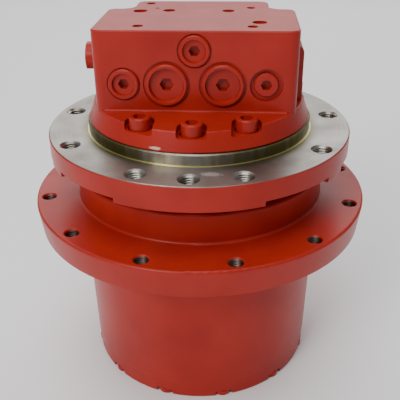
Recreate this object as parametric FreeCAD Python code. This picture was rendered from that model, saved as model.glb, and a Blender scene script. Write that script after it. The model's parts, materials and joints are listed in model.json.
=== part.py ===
"""Excavator final drive: a hydraulic travel motor inside a two-stage planetary track drive.

Millimetres. The origin is on the main axis at the machined frame face of the fixed flange.
+Z runs up through the motor's valve block, and the turning hub hangs below the frame face.
Angles are counted from the front (-Y) towards +X, apart from the gears, which count from +X.
"""
import FreeCAD, Part
import math
import os
from collections import namedtuple

os.makedirs("parts", exist_ok=True)
Vector = FreeCAD.Vector

# ---------------------------------------------------------------- clearances
RUN = 0.05          # radial running clearance of a shaft, roller or spool
GAP = 0.3           # clearance between pieces that move past each other
SIDE = 0.5          # end clearance of a gear between its thrust faces
LABYRINTH = 1.5     # open gap between the fixed guard and the turning neck
EASE = 1.0          # small chamfer on a turned or cast edge
CAST_ROUND = 2.0    # rounding or fillet on a large casting

# ---------------------------------------------------------------- fixed flange
FLANGE_R = 135.0
FLANGE_T = 21.6
FLANGE_RELIEF = 4.6           # how much thinner the flange is between its bolt bosses
RELIEF_STEP = 4.5             # how far outside the seal guard those reliefs begin
SPIGOT_R = 99.4
SPIGOT_H = 10.0
FRAME_BOLT_INSET = 14.0       # from the flange's edge to its bolt circle
FRAME_BOLT_R = FLANGE_R - FRAME_BOLT_INSET
FRAME_THREAD_R = 8.0          # M16
FRAME_BOLTS = 9
FRAME_BOLT_START = 20.0
BOSS_HALF_ANGLE = 5.5
HOLE_CHAMFER = 1.0

# ---------------------------------------------------------------- valve block
BLOCK_W = 167.0
BLOCK_FRONT = 48.5
BLOCK_SHOULDER = 37.0
BLOCK_REAR = 73.0
BLOCK_REAR_W = 122.0
BLOCK_TOP = 92.8
BLOCK_CORNER = 8.0
BLOCK_REAR_CORNER = 9.0
BLOCK_INNER_CORNER = 12.0
FOOT_STEP = 1.1               # the block's round foot stands this far inside the spigot
FOOT_R = SPIGOT_R - FOOT_STEP
FOOT_DRAFT = 5.7
FOOT_TOP_R = FOOT_R - FOOT_DRAFT
FOOT_H = 16.2
FOOT_ROUND = 1.5
FRONT_FILLET = 2.0            # fillet between the block's front face and the foot's top
SCREW_INSET = 15.4            # from the foot's edge to the block screws
SCREW_R = FOOT_R - SCREW_INSET
SCREW_ANGLES = (0.0, 31.0, 90.0, 124.0, 180.0, -124.0, -90.0, -31.0)
M12_R = 6.0
M12_HEAD_R = 8.8
M12_HEAD_H = 12.0
M12_HEX = 10.0
SCREW_POCKET_ROOM = 3.1      # room round a block screw's head
SCREW_POCKET_R = M12_HEAD_R + SCREW_POCKET_ROOM
SCREW_POCKET_Z = 20.5
SCREW_POCKET_ROUND = 2.5      # rounding where a pocket's wall meets its floor
SCREW_SEAT_DEPTH = 2.0
SCREW_SEAT_ROOM = 1.2
SCREW_SEAT_R = M12_HEAD_R + SCREW_SEAT_ROOM
SCREW_LENGTH = 40.0
SIDE_POCKET_ROOF = 53.0
REAR_POCKET_ROOF = 46.0
SPOOL_Y = -3.0
SPOOL_Z = 63.0
SPOOL_R = 7.5
SPOOL_BOSS_WALL = 5.0
SPOOL_BOSS_R = SPOOL_R + SPOOL_BOSS_WALL
SPOOL_BOSS_DROP = 3.0         # how far the left boss's centre lies under the spool's
SPOOL_BOSS_END = BLOCK_W / 2 + 13.0
CHEEK_END = BLOCK_W / 2 + 6.3   # outer side of the right cheek, which carries the spool's right end
CHEEK_TOP = 73.0
CHEEK_FRONT = 14.5
CHEEK_WALL = 4.5
CHEEK_ROUND = 6.0
SPOOL_TRAVEL = 4.0
SPOOL_LANDS = 5
SPOOL_LAND_SHARE = 0.62       # how much of its pitch along the spool a land takes
TOP_HOLES = (                 # x, y, diameter, depth of the drillings in the machined top face
    (-53.2, 26.5, 12.5, 16.0), (51.7, -17.3, 12.2, 16.0),
    (-27.6, 29.1, 11.0, 24.0), (24.9, 28.1, 11.0, 24.0),
    (44.8, 41.6, 8.1, 20.0), (45.9, -32.9, 8.7, 20.0),
    (-46.7, -32.4, 8.9, 20.0), (-48.0, 60.9, 8.5, 20.0), (-39.1, 38.7, 3.6, 12.0),
)
PORT_X = 24.0                 # main hose ports in the rear face
PORT_Z = 62.0
PORT_THREAD_R = 10.5          # G 1/2
PORT_DEPTH = 18.0
PORT_FACE_ROOM = 6.5          # width of the spot face round a main port
DRAIN_X = 48.0
DRAIN_Z = 40.0
DRAIN_THREAD_R = 6.6          # G 1/4
DRAIN_DEPTH = 13.0
DRAIN_FACE_ROOM = 5.4

PLUG_Z = 49.3                 # height of the lower row of plugs in the front face
FACE_DEPTH = 1.5              # depth of a plug's spot face
HEX_8 = 8.0
RELIEF_PLUG_X = 22.9
RELIEF_PLUG_R = 17.1
RELIEF_PLUG_PROUD = 5.0
RELIEF_FACE_ROOM = 2.3        # width of the spot face round a relief plug
RELIEF_CUP_RIM = 2.7
RELIEF_CUP_DEPTH = 4.0
RELIEF_HEX = 10.0
RELIEF_THREAD_R = 14.0
CUP_PLUG_X = 58.2
UPPER_PLUG_Z = 76.8
CUP_PLUG_R = 12.7
CUP_PLUG_PROUD = 4.0
CUP_FACE_ROOM = 1.1
CUP_RIM = 3.2
CUP_DEPTH = 3.0
CUP_THREAD_R = 10.0
GAUGE_PLUG_X = 58.0
GAUGE_PLUG_R = 10.0
GAUGE_PLUG_PROUD = 3.2
GAUGE_FACE_ROOM = 3.5
GAUGE_FACE_DEPTH = 4.0
GAUGE_THREAD_R = 7.0
Plug = namedtuple("Plug", "places head_r face_r face_depth proud cup_r cup_depth flats thread_r")
PLUGS = {
    "relief_plugs": Plug(
        ((-RELIEF_PLUG_X, PLUG_Z), (RELIEF_PLUG_X, PLUG_Z)), RELIEF_PLUG_R,
        RELIEF_PLUG_R + RELIEF_FACE_ROOM, FACE_DEPTH, RELIEF_PLUG_PROUD,
        RELIEF_PLUG_R - RELIEF_CUP_RIM, RELIEF_CUP_DEPTH, RELIEF_HEX, RELIEF_THREAD_R),
    "cup_plugs": Plug(
        ((-CUP_PLUG_X, PLUG_Z), (0.0, UPPER_PLUG_Z)), CUP_PLUG_R,
        CUP_PLUG_R + CUP_FACE_ROOM, FACE_DEPTH, CUP_PLUG_PROUD,
        CUP_PLUG_R - CUP_RIM, CUP_DEPTH, HEX_8, CUP_THREAD_R),
    "gauge_plug": Plug(
        ((GAUGE_PLUG_X, PLUG_Z),), GAUGE_PLUG_R,
        GAUGE_PLUG_R + GAUGE_FACE_ROOM, GAUGE_FACE_DEPTH, GAUGE_PLUG_PROUD,
        0.0, 0.0, HEX_8, GAUGE_THREAD_R),
}
PLUG_SHANK = 12.0
HEX_DEPTH = 6.0
RELIEF_BORE_R = 10.0          # bore of a relief valve
RELIEF_FLOOR = 18.0           # how far in front of the main axis the relief valve seats lie
RELIEF_SEAT_R = 4.0
POPPET_R = RELIEF_BORE_R - RUN
POPPET_L = 7.0
POPPET_TRAVEL = 1.5
TWO_SPEED_R = 6.0
TWO_SPEED_L = 26.0
TWO_SPEED_FLOOR = 12.0        # how far behind the main axis the two-speed bore ends
TWO_SPEED_TRAVEL = 5.0
SPRING_WIRE = 1.6

# ---------------------------------------------------------------- motor
SHAFT_R = 14.0
CYLINDER_R = 44.0
CAVITY_ROOM = 6.0             # between the turning cylinder block and its cavity
CAVITY_R = CYLINDER_R + CAVITY_ROOM
BRAKE_W = 18.0                # between the cylinder block and the brake's cavity
BRAKE_CAVITY_R = CYLINDER_R + BRAKE_W
VALVE_PLATE_R = CYLINDER_R - 2 * EASE
VALVE_PLATE_T = 5.0
KIDNEY_SWEEP = 140.0          # degrees that each port of the valve plate takes
CYLINDER_L = 48.0
PISTONS = 9
PISTON_R = 8.5
PISTON_WALL = 4.5             # between a piston's bore and the outside of the cylinder block
PISTON_PITCH_R = CYLINDER_R - PISTON_WALL - PISTON_R
PISTON_OUT = 7.0              # how far a piston stands out of the cylinder block
SLIPPER_RIM = 1.7             # how far a slipper's foot stands out round its piston
SLIPPER_R = PISTON_R + SLIPPER_RIM
SLIPPER_NECK_R = PISTON_R - 2 * EASE
SLIPPER_NECK_H = 5.5
SLIPPER_T = 4.0
RETAINER_T = 2.5
SWASH_R = CYLINDER_R
SWASH_T = 12.0
SWASH_MOON_R = 21.7
SWASH_ROOM = 4.0              # between the shaft and the swash plate
SWASH_BORE_R = SHAFT_R + SWASH_ROOM
SWASH_MOON_IN = SWASH_BORE_R + SWASH_ROOM
SWASH_MOON_INSET = 6.0
SWASH_MOON_OUT = SWASH_R - SWASH_MOON_INSET
SERVO_R = 7.5
SERVO_INSET = 5.5             # from the swash plate's edge to the servo piston
SERVO_Y = SWASH_R - SERVO_INSET
SERVO_L = 22.0
CAVITY_FLOOR = SWASH_MOON_R + 2 * GAP
NEEDLE_R = 2.0
NEEDLE_L = 12.0
NEEDLES = 12
CUP_T = 2.8
ROLLER_R = 2.5
ROLLER_L = 13.0
SHAFT_RACE_T = 3.7
SHAFT_OUTER_RACE_T = 5.2
SEAL_T = 7.0
SEAL_SECTION = 9.0

# ---------------------------------------------------------------- parking brake
BRAKE_STEEL_T = 2.0
BRAKE_LINING_T = 2.5
BRAKE_LININGS = 3
BRAKE_CLEAR = 0.1
BRAKE_DEPTH = 34.0            # floor of the brake cavity below the frame face
BRAKE_TRAVEL = 2.0
BRAKE_KEYS = 6
KEY_W = 8.0
KEY_DEPTH = 3.0
BRAKE_SPRINGS = 8
BRAKE_SPRING_R = 4.5
BRAKE_SPRING_L = 17.0

# ---------------------------------------------------------------- main bearings, nut and face seal
JOURNAL_WALL = 15.0
BEARING_SECTION = 19.0
BEARING_W = 19.0
BEARING_LAND = 8.0
LAND_STEP = 6.0
RACE_T = 6.5
BEARING_ROLLERS = 18
NUT_T = 8.0
NUT_SECTION = 12.0
SEAL_R = 104.0
SEAL_RING_W = 12.0            # radial width of the face seal
SEAL_RING_R = SEAL_R - SEAL_RING_W
SEAL_RING_T = 7.0
SEAL_POCKET = 15.0
GUARD_WALL = 3.5
GUARD_H = 23.4
COLLAR_ROOM = 4.0             # between the face seal and the collar inside it
COLLAR_R = SEAL_RING_R - COLLAR_ROOM

# ---------------------------------------------------------------- gears
MODULE = 2.75
PRESSURE = math.radians(25.0)
DEDENDUM = 1.25               # depth of a tooth space below the pitch circle, in modules
RING_ADDENDUM = 0.9           # height of a ring gear tooth inside the pitch circle, in modules
RING_TEETH = 60
SUN_1_TEETH = 12
PLANET_1_TEETH = 24
SUN_2_TEETH = 18
PLANET_2_TEETH = 21
PLANETS = 3
BACKLASH = 0.24
RING_WALL = 6.0625
PLANET_1_W = 21.0
PLANET_2_W = 26.0
CARRIER_2_TOP_T = 11.0
CARRIER_2_LOW_T = 9.0
CARRIER_1_TOP_T = 9.0
CARRIER_1_LOW_T = 7.0
CARRIER_GAP = 3.0
CARRIER_ROOM = 1.725          # between a carrier and the ring gear's teeth
PIN_1_R = 11.0
PIN_2_R = 12.0
PLANET_NEEDLE_R = 2.5
PLANET_NEEDLES = 14
SUN_SHAFT_WALL = 5.0          # wall of the motor shaft round the sun gear's shaft
SUN_SHAFT_R = SHAFT_R - SUN_SHAFT_WALL
SUN_2_BORE_R = SUN_SHAFT_R + 2 * EASE
SUN_2_STEM_R = 19.5
CARRIER_SCREW_INSET = 11.625  # from the planet pins' circle inwards to the carrier screws
M10_R = 5.0
M10_HEAD_R = 8.0
M10_HEAD_H = 6.0
M10_HEX = 6.0
CARRIER_SCREW_L = 24.0

# ---------------------------------------------------------------- hub
NECK_GAP = 13.4               # open gap between the flange and the neck
NECK_WALL = 5.6
NECK_DRAFT = 1.6
NECK_H = 27.2
SPROCKET_R = 153.2
SPROCKET_T = 24.6
SPROCKET_DRAFT = 3.0
SPROCKET_BOLT_INSET = 11.6    # from the sprocket flange's edge to its bolt circle
SPROCKET_BOLT_R = SPROCKET_R - SPROCKET_BOLT_INSET
SPROCKET_THREAD_R = 6.0       # M12
SPROCKET_BOLTS = 12
SPROCKET_BOLT_START = 15.0
REGISTER_STEP = 1.6           # how far the sprocket's register stands out of the drum
REGISTER_H = 5.0
DRUM_WALL = 16.3
DRUM_DRAFT = 2.7
RING_SHOULDER = 4.0
RING_KEY_R = 4.0
RING_KEYS = 6

# ---------------------------------------------------------------- end cover
COVER_T = 18.0
COVER_STEP = 0.7
COVER_SPACE = 4.0
COVER_FLOOR = 6.9             # height of the cover's inner floor above its joint face
COVER_SPIGOT = 8.0
COVER_BOLT_INSET = 8.3        # from the ring gear's seat outwards to the cover screws
COVER_BOLTS = 12
SCALLOP_ROOM = 2.5            # room round a cover screw's head
SCALLOP_R = M10_HEAD_R + SCALLOP_ROOM
SCALLOP_H = 5.4
COVER_SCREW_L = 24.0
O_RING = 3.0
OIL_PLUG_R = 11.0
OIL_PLUG_PITCH = 62.0
OIL_PLUG_L = 9.0
THRUST_PAD_R = 14.0

# ---------------------------------------------------------------- levels worked out from the sizes
FLANGE_LOW = -FLANGE_T
NECK_TOP = FLANGE_LOW - NECK_GAP
SPROCKET_TOP = NECK_TOP - NECK_H
SPROCKET_LOW = SPROCKET_TOP - SPROCKET_T
JOURNAL_R = CAVITY_R + JOURNAL_WALL
BEARING_R = JOURNAL_R + BEARING_SECTION
BEARING_1_TOP = SPROCKET_TOP - GAP
BEARING_1_LOW = BEARING_1_TOP - BEARING_W
BEARING_2_TOP = BEARING_1_LOW - BEARING_LAND
BEARING_2_LOW = BEARING_2_TOP - BEARING_W
NUT_LOW = BEARING_2_LOW - NUT_T
SPINDLE_END = NUT_LOW - LABYRINTH
CARRIER_2_SLOT_TOP = SPINDLE_END - CARRIER_2_TOP_T
PLANET_2_TOP = CARRIER_2_SLOT_TOP - SIDE
PLANET_2_LOW = PLANET_2_TOP - PLANET_2_W
CARRIER_2_SLOT_LOW = PLANET_2_LOW - SIDE
CARRIER_2_LOW = CARRIER_2_SLOT_LOW - CARRIER_2_LOW_T
CARRIER_1_TOP = CARRIER_2_LOW - CARRIER_GAP
CARRIER_1_SLOT_TOP = CARRIER_1_TOP - CARRIER_1_TOP_T
PLANET_1_TOP = CARRIER_1_SLOT_TOP - SIDE
PLANET_1_LOW = PLANET_1_TOP - PLANET_1_W
CARRIER_1_SLOT_LOW = PLANET_1_LOW - SIDE
CARRIER_1_LOW = CARRIER_1_SLOT_LOW - CARRIER_1_LOW_T
COVER_INNER = CARRIER_1_LOW - COVER_SPACE
DRUM_LOW = COVER_INNER - COVER_FLOOR
COVER_LOW = DRUM_LOW - COVER_T

RING_PITCH_R = MODULE * RING_TEETH / 2
RING_R = RING_PITCH_R + DEDENDUM * MODULE + RING_WALL
CARRIER_R = RING_PITCH_R - RING_ADDENDUM * MODULE - CARRIER_ROOM
CENTRE_1 = MODULE * (SUN_1_TEETH + PLANET_1_TEETH) / 2
CENTRE_2 = MODULE * (SUN_2_TEETH + PLANET_2_TEETH) / 2
CARRIER_SCREW_R = CENTRE_2 - CARRIER_SCREW_INSET
DRUM_R_LOW = RING_R + DRUM_WALL
DRUM_R_TOP = DRUM_R_LOW + DRUM_DRAFT
REGISTER_R = DRUM_R_TOP + REGISTER_STEP
COVER_R = DRUM_R_LOW - COVER_STEP
COVER_BOLT_R = RING_R + COVER_BOLT_INSET
GUARD_R = SEAL_R + GUARD_WALL
RELIEF_R = GUARD_R + RELIEF_STEP
NECK_BORE_R = GUARD_R + LABYRINTH
NECK_R_TOP = NECK_BORE_R + NECK_WALL
NECK_R_LOW = NECK_R_TOP - NECK_DRAFT
GUARD_LOW = FLANGE_LOW - GUARD_H
SEAL_FACE = GUARD_LOW
SEAL_FLOOR = SEAL_FACE - SEAL_POCKET

PORT_FACE_Z = SPIGOT_H        # joint face of the valve block, and of the valve plate
CYLINDER_TOP = PORT_FACE_Z - VALVE_PLATE_T - RUN
CYLINDER_LOW = CYLINDER_TOP - CYLINDER_L
SLIPPER_TOP = CYLINDER_LOW - PISTON_OUT
SLIPPER_FOOT = SLIPPER_TOP - SLIPPER_NECK_H
SWASH_FACE = SLIPPER_FOOT - SLIPPER_T - RUN
SWASH_LOW = SWASH_FACE - SWASH_T
CAVITY_LOW = SWASH_FACE - CAVITY_FLOOR
SHAFT_SEAL_TOP = CAVITY_LOW - ROLLER_L - 2 * RUN
SHAFT_SEAL_LOW = SHAFT_SEAL_TOP - SEAL_T
SHAFT_LOW = SHAFT_SEAL_LOW + GAP
CUP_TOP = PORT_FACE_Z + LABYRINTH + NEEDLE_L
SHAFT_OUTER_R = SHAFT_R + SHAFT_RACE_T + 2 * (ROLLER_R + RUN) + SHAFT_OUTER_RACE_T


# ---------------------------------------------------------------- shape helpers
def spot(radius, degrees, z=0.0):
    """A point at a radius, its angle counted from the front towards +X."""
    turn = math.radians(degrees)
    return Vector(radius * math.sin(turn), -radius * math.cos(turn), z)


def cylinder(radius, z_low, z_high, at=Vector(0, 0, 0)):
    """An upright solid cylinder between two levels."""
    return Part.makeCylinder(radius, z_high - z_low, Vector(at.x, at.y, z_low))


def ring(r_in, r_out, z_low, z_high, at=Vector(0, 0, 0)):
    """An upright tube between two levels."""
    return cylinder(r_out, z_low, z_high, at).cut(cylinder(r_in, z_low, z_high, at))


def turned(profile):
    """A solid turned about Z from a closed list of (radius, z) corners, some with a rounding too."""
    points = [Vector(corner[0], 0, corner[1]) for corner in profile]
    edges, ends = [], []
    for k, corner in enumerate(profile):
        back = (points[k - 1] - points[k]).normalize()
        ahead = (points[(k + 1) % len(points)] - points[k]).normalize()
        rounding = corner[2] if len(corner) > 2 else 0.0
        half = back.getAngle(ahead) / 2
        reach = rounding / math.tan(half)
        ends.append((points[k] + back * reach, points[k] + ahead * reach))
        if rounding:
            inwards = (back + ahead).normalize()
            middle = points[k] + inwards * (rounding / math.sin(half) - rounding)
            edges.append(Part.Arc(ends[k][0], middle, ends[k][1]).toShape())
    edges += [Part.makeLine(ends[k - 1][1], ends[k][0]) for k in range(len(points))]
    face = Part.Face(Part.Wire(Part.__sortEdges__(edges)))
    return face.revolve(Vector(0, 0, 0), Vector(0, 0, 1), 360)


def along_y(radius, y_from, y_to, x, z):
    """A solid cylinder along Y."""
    start = min(y_from, y_to)
    return Part.makeCylinder(radius, abs(y_to - y_from), Vector(x, start, z), Vector(0, 1, 0))


def along_x(radius, x_from, x_to, y, z):
    """A solid cylinder along X."""
    start = min(x_from, x_to)
    return Part.makeCylinder(radius, abs(x_to - x_from), Vector(start, y, z), Vector(1, 0, 0))


def hex_prism(flats, depth, top, direction):
    """A hexagonal prism of the given width across flats, running from top along a direction."""
    corner_r = flats / math.sqrt(3)
    side = Vector(1, 0, 0) if abs(direction.x) < 0.5 else Vector(0, 1, 0)
    other = direction.cross(side)
    corners = []
    for k in range(6):
        turn = math.radians(60 * k)
        corners.append(top + side * (corner_r * math.cos(turn)) + other * (corner_r * math.sin(turn)))
    return Part.Face(Part.makePolygon(corners + corners[:1])).extrude(direction * depth)


def turned_about_z(shape, degrees):
    """A copy of a shape turned about the main axis."""
    copy = shape.copy()
    copy.rotate(Vector(0, 0, 0), Vector(0, 0, 1), degrees)
    return copy


def patterned(shape, count, start=0.0):
    """Equally spaced copies of a shape about the main axis."""
    return [turned_about_z(shape, start + 360.0 * k / count) for k in range(count)]


def chamfered_hole(radius, z_low, z_high, at, chamfer):
    """The cutter of an upright hole with a countersink at each end."""
    bore = cylinder(radius, z_low, z_high, at)
    mouth = Vector(at.x, at.y, z_high - chamfer)
    upper = Part.makeCone(radius, radius + chamfer, chamfer, mouth)
    lower = Part.makeCone(radius + chamfer, radius, chamfer, Vector(at.x, at.y, z_low))
    return bore.fuse([upper, lower])


def socket_screw(at, seat, length, shank_r, head_r, head_h, flats, up=1):
    """A hexagon socket cap screw with its head on a seat level, pointing down, or up if up is -1."""
    axis = Vector(0, 0, up)
    base = Vector(at.x, at.y, seat)
    top = base + axis * head_h
    shank = Part.makeCylinder(shank_r, length, base, axis * -1)
    head = Part.makeCylinder(head_r, head_h - EASE, base, axis)
    crown = Part.makeCone(head_r, head_r - EASE, EASE, base + axis * (head_h - EASE), axis)
    screw = shank.fuse([head, crown]).removeSplitter()
    return screw.cut(hex_prism(flats, head_h / 2, top, axis * -1))


def save(name, shapes):
    """Write a node as one STEP file, from one shape or a list of separate solids."""
    shape = Part.makeCompound(shapes) if isinstance(shapes, list) else shapes
    shape.exportStep("parts/" + name + ".step")


# ---------------------------------------------------------------- gear helpers
def involute_angle(radius, base_r):
    """The involute's polar angle at a radius outside its base circle."""
    pressure = math.acos(min(1.0, base_r / radius))
    return math.tan(pressure) - pressure


def gear_prism(teeth, tip_r, root_r, thinning, z_low, z_high, phase=0.0):
    """An external gear, or the cutter of an internal one, with involute flanks drawn as arcs.

    thinning is taken off each tooth's width at the pitch circle, and phase turns tooth 0 off +X.
    """
    pitch_r = MODULE * teeth / 2
    base_r = pitch_r * math.cos(PRESSURE)
    half_pitch = math.pi / teeth
    half_tooth = half_pitch / 2 - thinning / (2 * pitch_r) + involute_angle(pitch_r, base_r)
    start_r = max(root_r, base_r)
    middle_r = (start_r + tip_r) / 2

    def flank(radius):
        return half_tooth - involute_angle(radius, base_r)

    def point(radius, angle):
        return Vector(radius * math.cos(angle), radius * math.sin(angle), z_low)

    edges = []
    for k in range(teeth):
        centre = phase + 2 * half_pitch * k
        rise = [point(r, centre - flank(r)) for r in (start_r, middle_r, tip_r)]
        fall = [point(r, centre + flank(r)) for r in (tip_r, middle_r, start_r)]
        foot_in = point(root_r, centre - flank(start_r))
        foot_out = point(root_r, centre + flank(start_r))
        next_in = point(root_r, centre + 2 * half_pitch - flank(start_r))
        if start_r > root_r:
            edges.append(Part.LineSegment(foot_in, rise[0]).toShape())
        edges.append(Part.Arc(*rise).toShape())
        edges.append(Part.Arc(rise[2], point(tip_r, centre), fall[0]).toShape())
        edges.append(Part.Arc(*fall).toShape())
        if start_r > root_r:
            edges.append(Part.LineSegment(fall[2], foot_out).toShape())
        edges.append(Part.Arc(foot_out, point(root_r, centre + half_pitch), next_in).toShape())
    face = Part.Face(Part.Wire(edges))
    return face.extrude(Vector(0, 0, z_high - z_low))


def external_gear(teeth, z_low, z_high, phase=0.0):
    """A plain external gear of the set's module."""
    pitch_r = MODULE * teeth / 2
    root_r = pitch_r - DEDENDUM * MODULE
    return gear_prism(teeth, pitch_r + MODULE, root_r, BACKLASH / 2, z_low, z_high, phase)


def planet_gears(name, teeth, centre_r, z_low, z_high, bore_r):
    """The planets of one stage: each meshes with the ring and the sun where it stands."""
    gear = external_gear(teeth, z_low, z_high).cut(cylinder(bore_r, z_low, z_high))
    gear.translate(Vector(centre_r, 0, 0))
    for letter, planet in zip("abc", patterned(gear, PLANETS)):
        save(name + "_" + letter, planet)


# ---------------------------------------------------------------- fixed case
def frame_holes():
    """The ten threaded frame holes: nine evenly spaced, and one more at the front."""
    angles = [FRAME_BOLT_START + 360.0 * k / FRAME_BOLTS for k in range(FRAME_BOLTS)] + [0.0]
    return [
        chamfered_hole(FRAME_THREAD_R, FLANGE_LOW, 0.0, spot(FRAME_BOLT_R, a), HOLE_CHAMFER) for a in angles
    ]


def flange_reliefs():
    """The shallow reliefs under the flange between its bolt bosses, none beside the front hole."""
    pitch = 360.0 / FRAME_BOLTS
    sweep = pitch - 2 * BOSS_HALF_ANGLE
    reliefs = []
    for k in range(FRAME_BOLTS - 1):
        start = FRAME_BOLT_START + pitch * k + BOSS_HALF_ANGLE
        outer = Part.makeCylinder(FLANGE_R + EASE, FLANGE_RELIEF, Vector(0, 0, FLANGE_LOW),
                                  Vector(0, 0, 1), sweep)
        sector = outer.cut(cylinder(RELIEF_R, FLANGE_LOW, FLANGE_LOW + FLANGE_RELIEF))
        reliefs.append(turned_about_z(sector, start - 90.0))
    return reliefs


def brake_slots(radius_in, radius_out, z_low, z_high):
    """Straight upright keyways, in a ring between two radii."""
    bar = Part.makeBox(radius_out - radius_in, KEY_W, z_high - z_low, Vector(radius_in, -KEY_W / 2, z_low))
    return patterned(bar, BRAKE_KEYS)


def spindle_case():
    """The fixed spindle: frame flange, seal guard, bearing journal and motor cavity."""
    brake_floor = -BRAKE_DEPTH
    wall = turned([
        (BRAKE_CAVITY_R, PORT_FACE_Z), (SPIGOT_R - EASE, PORT_FACE_Z), (SPIGOT_R, PORT_FACE_Z - EASE),
        (SPIGOT_R, 0.0), (FLANGE_R - EASE, 0.0), (FLANGE_R, -EASE), (FLANGE_R, FLANGE_LOW, EASE),
        (GUARD_R, FLANGE_LOW), (GUARD_R, GUARD_LOW), (SEAL_R, GUARD_LOW),
        (SEAL_R, GUARD_LOW + SEAL_POCKET), (COLLAR_R, GUARD_LOW + SEAL_POCKET),
        (COLLAR_R, SEAL_FLOOR + LABYRINTH), (JOURNAL_R + RACE_T, SEAL_FLOOR + LABYRINTH),
        (JOURNAL_R + RACE_T, BEARING_1_TOP), (JOURNAL_R, BEARING_1_TOP), (JOURNAL_R, SPINDLE_END),
        (SUN_SHAFT_R + CARRIER_GAP, SPINDLE_END), (SUN_SHAFT_R + CARRIER_GAP, SHAFT_SEAL_LOW),
        (SHAFT_R + SEAL_SECTION, SHAFT_SEAL_LOW), (SHAFT_R + SEAL_SECTION, SHAFT_SEAL_TOP),
        (SHAFT_OUTER_R, SHAFT_SEAL_TOP), (SHAFT_OUTER_R, CAVITY_LOW), (CAVITY_R, CAVITY_LOW),
        (CAVITY_R, brake_floor), (BRAKE_CAVITY_R, brake_floor),
    ])
    cradles = []
    pad_w = SWASH_MOON_OUT - SWASH_MOON_IN
    for pad_x in (-SWASH_MOON_OUT, SWASH_MOON_IN):
        pad = Part.makeBox(pad_w, 2 * SWASH_BORE_R, SWASH_T / 2, Vector(pad_x, -SWASH_BORE_R, CAVITY_LOW))
        cradles.append(pad.cut(along_x(SWASH_MOON_R + RUN, pad_x, pad_x + pad_w, 0, SWASH_FACE)))
    case = wall.fuse(cradles)
    cuts = frame_holes() + flange_reliefs()
    cuts += brake_slots(BRAKE_CAVITY_R - EASE, BRAKE_CAVITY_R + KEY_DEPTH, brake_floor, PORT_FACE_Z)
    cuts.append(cylinder(SERVO_R + RUN, servo_low() - RUN, CAVITY_LOW, Vector(0, SERVO_Y, 0)))
    for angle in SCREW_ANGLES:
        seat = screw_seat(angle)
        cuts.append(cylinder(M12_R, seat - SCREW_LENGTH - EASE, PORT_FACE_Z, spot(SCREW_R, angle)))
    for screw in carrier_screw_places():
        cuts.append(cylinder(M10_R, SPINDLE_END, SPINDLE_END + CARRIER_SCREW_L - M10_HEAD_H, screw))
    save("spindle_case", case.cut(cuts))


def screw_seat(angle):
    """The level that a block screw's head stands on: a sunk spot face, or the foot's top at the sides."""
    return PORT_FACE_Z + FOOT_H if abs(angle) == 90.0 else SCREW_POCKET_Z - SCREW_SEAT_DEPTH


# ---------------------------------------------------------------- valve block
def block_body():
    """The block above its round foot: a wide front part, a narrow rear part and rounded corners."""
    half, rear = BLOCK_W / 2, BLOCK_REAR_W / 2
    low = PORT_FACE_Z + FOOT_H / 2
    corners = [
        (-half, -BLOCK_FRONT), (half, -BLOCK_FRONT), (half, BLOCK_SHOULDER), (rear, BLOCK_SHOULDER),
        (rear, BLOCK_REAR), (-rear, BLOCK_REAR), (-rear, BLOCK_SHOULDER), (-half, BLOCK_SHOULDER),
    ]
    points = [Vector(x, y, low) for x, y in corners]
    solid = Part.Face(Part.makePolygon(points + points[:1])).extrude(Vector(0, 0, BLOCK_TOP - low))

    def upright_edges(places):
        found = []
        for edge in solid.Edges:
            a, b = edge.Vertexes[0].Point, edge.Vertexes[-1].Point
            upright = abs(a.z - b.z) > 1
            if upright and any(math.hypot(abs(a.x) - x, a.y - y) < RUN for x, y in places):
                found.append(edge)
        return found

    solid = solid.makeFillet(BLOCK_INNER_CORNER, upright_edges([(rear, BLOCK_SHOULDER)]))
    solid = solid.makeFillet(BLOCK_CORNER, upright_edges([(half, -BLOCK_FRONT), (half, BLOCK_SHOULDER)]))
    solid = solid.makeFillet(BLOCK_REAR_CORNER, upright_edges([(rear, BLOCK_REAR)]))
    top = [e for e in solid.Edges if all(abs(v.Point.z - BLOCK_TOP) < RUN for v in e.Vertexes)]
    return solid.makeChamfer(EASE, top)


def screw_pockets():
    """Cutters for the block screws: pockets open to the outside, spot faces and clearance holes."""
    cuts = []
    width = 2 * SCREW_POCKET_R
    for angle in SCREW_ANGLES:
        at = spot(SCREW_R, angle)
        seat = screw_seat(angle)
        floor = max(seat, SCREW_POCKET_Z)
        roof = BLOCK_TOP + EASE
        if abs(angle) == 90.0:
            roof = SIDE_POCKET_ROOF
        elif abs(angle) > 90.0:
            roof = REAR_POCKET_ROOF
        way = round(angle / 90.0) * 90.0
        slot = turned_about_z(Part.makeBox(width, FOOT_R, roof - floor, Vector(-SCREW_POCKET_R, -FOOT_R, 0)), way)
        slot.translate(at + Vector(0, 0, floor))
        pocket = cylinder(SCREW_POCKET_R, floor, roof, at).fuse(slot).removeSplitter()
        low = [e for e in pocket.Edges if all(abs(v.Point.z - floor) < RUN for v in e.Vertexes)]
        cuts.append(pocket.makeFillet(SCREW_POCKET_ROUND, low))
        cuts.append(cylinder(SCREW_SEAT_R, seat, floor + EASE, at))
        cuts.append(cylinder(M12_R + EASE / 2, PORT_FACE_Z, seat, at))
    return cuts


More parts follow.
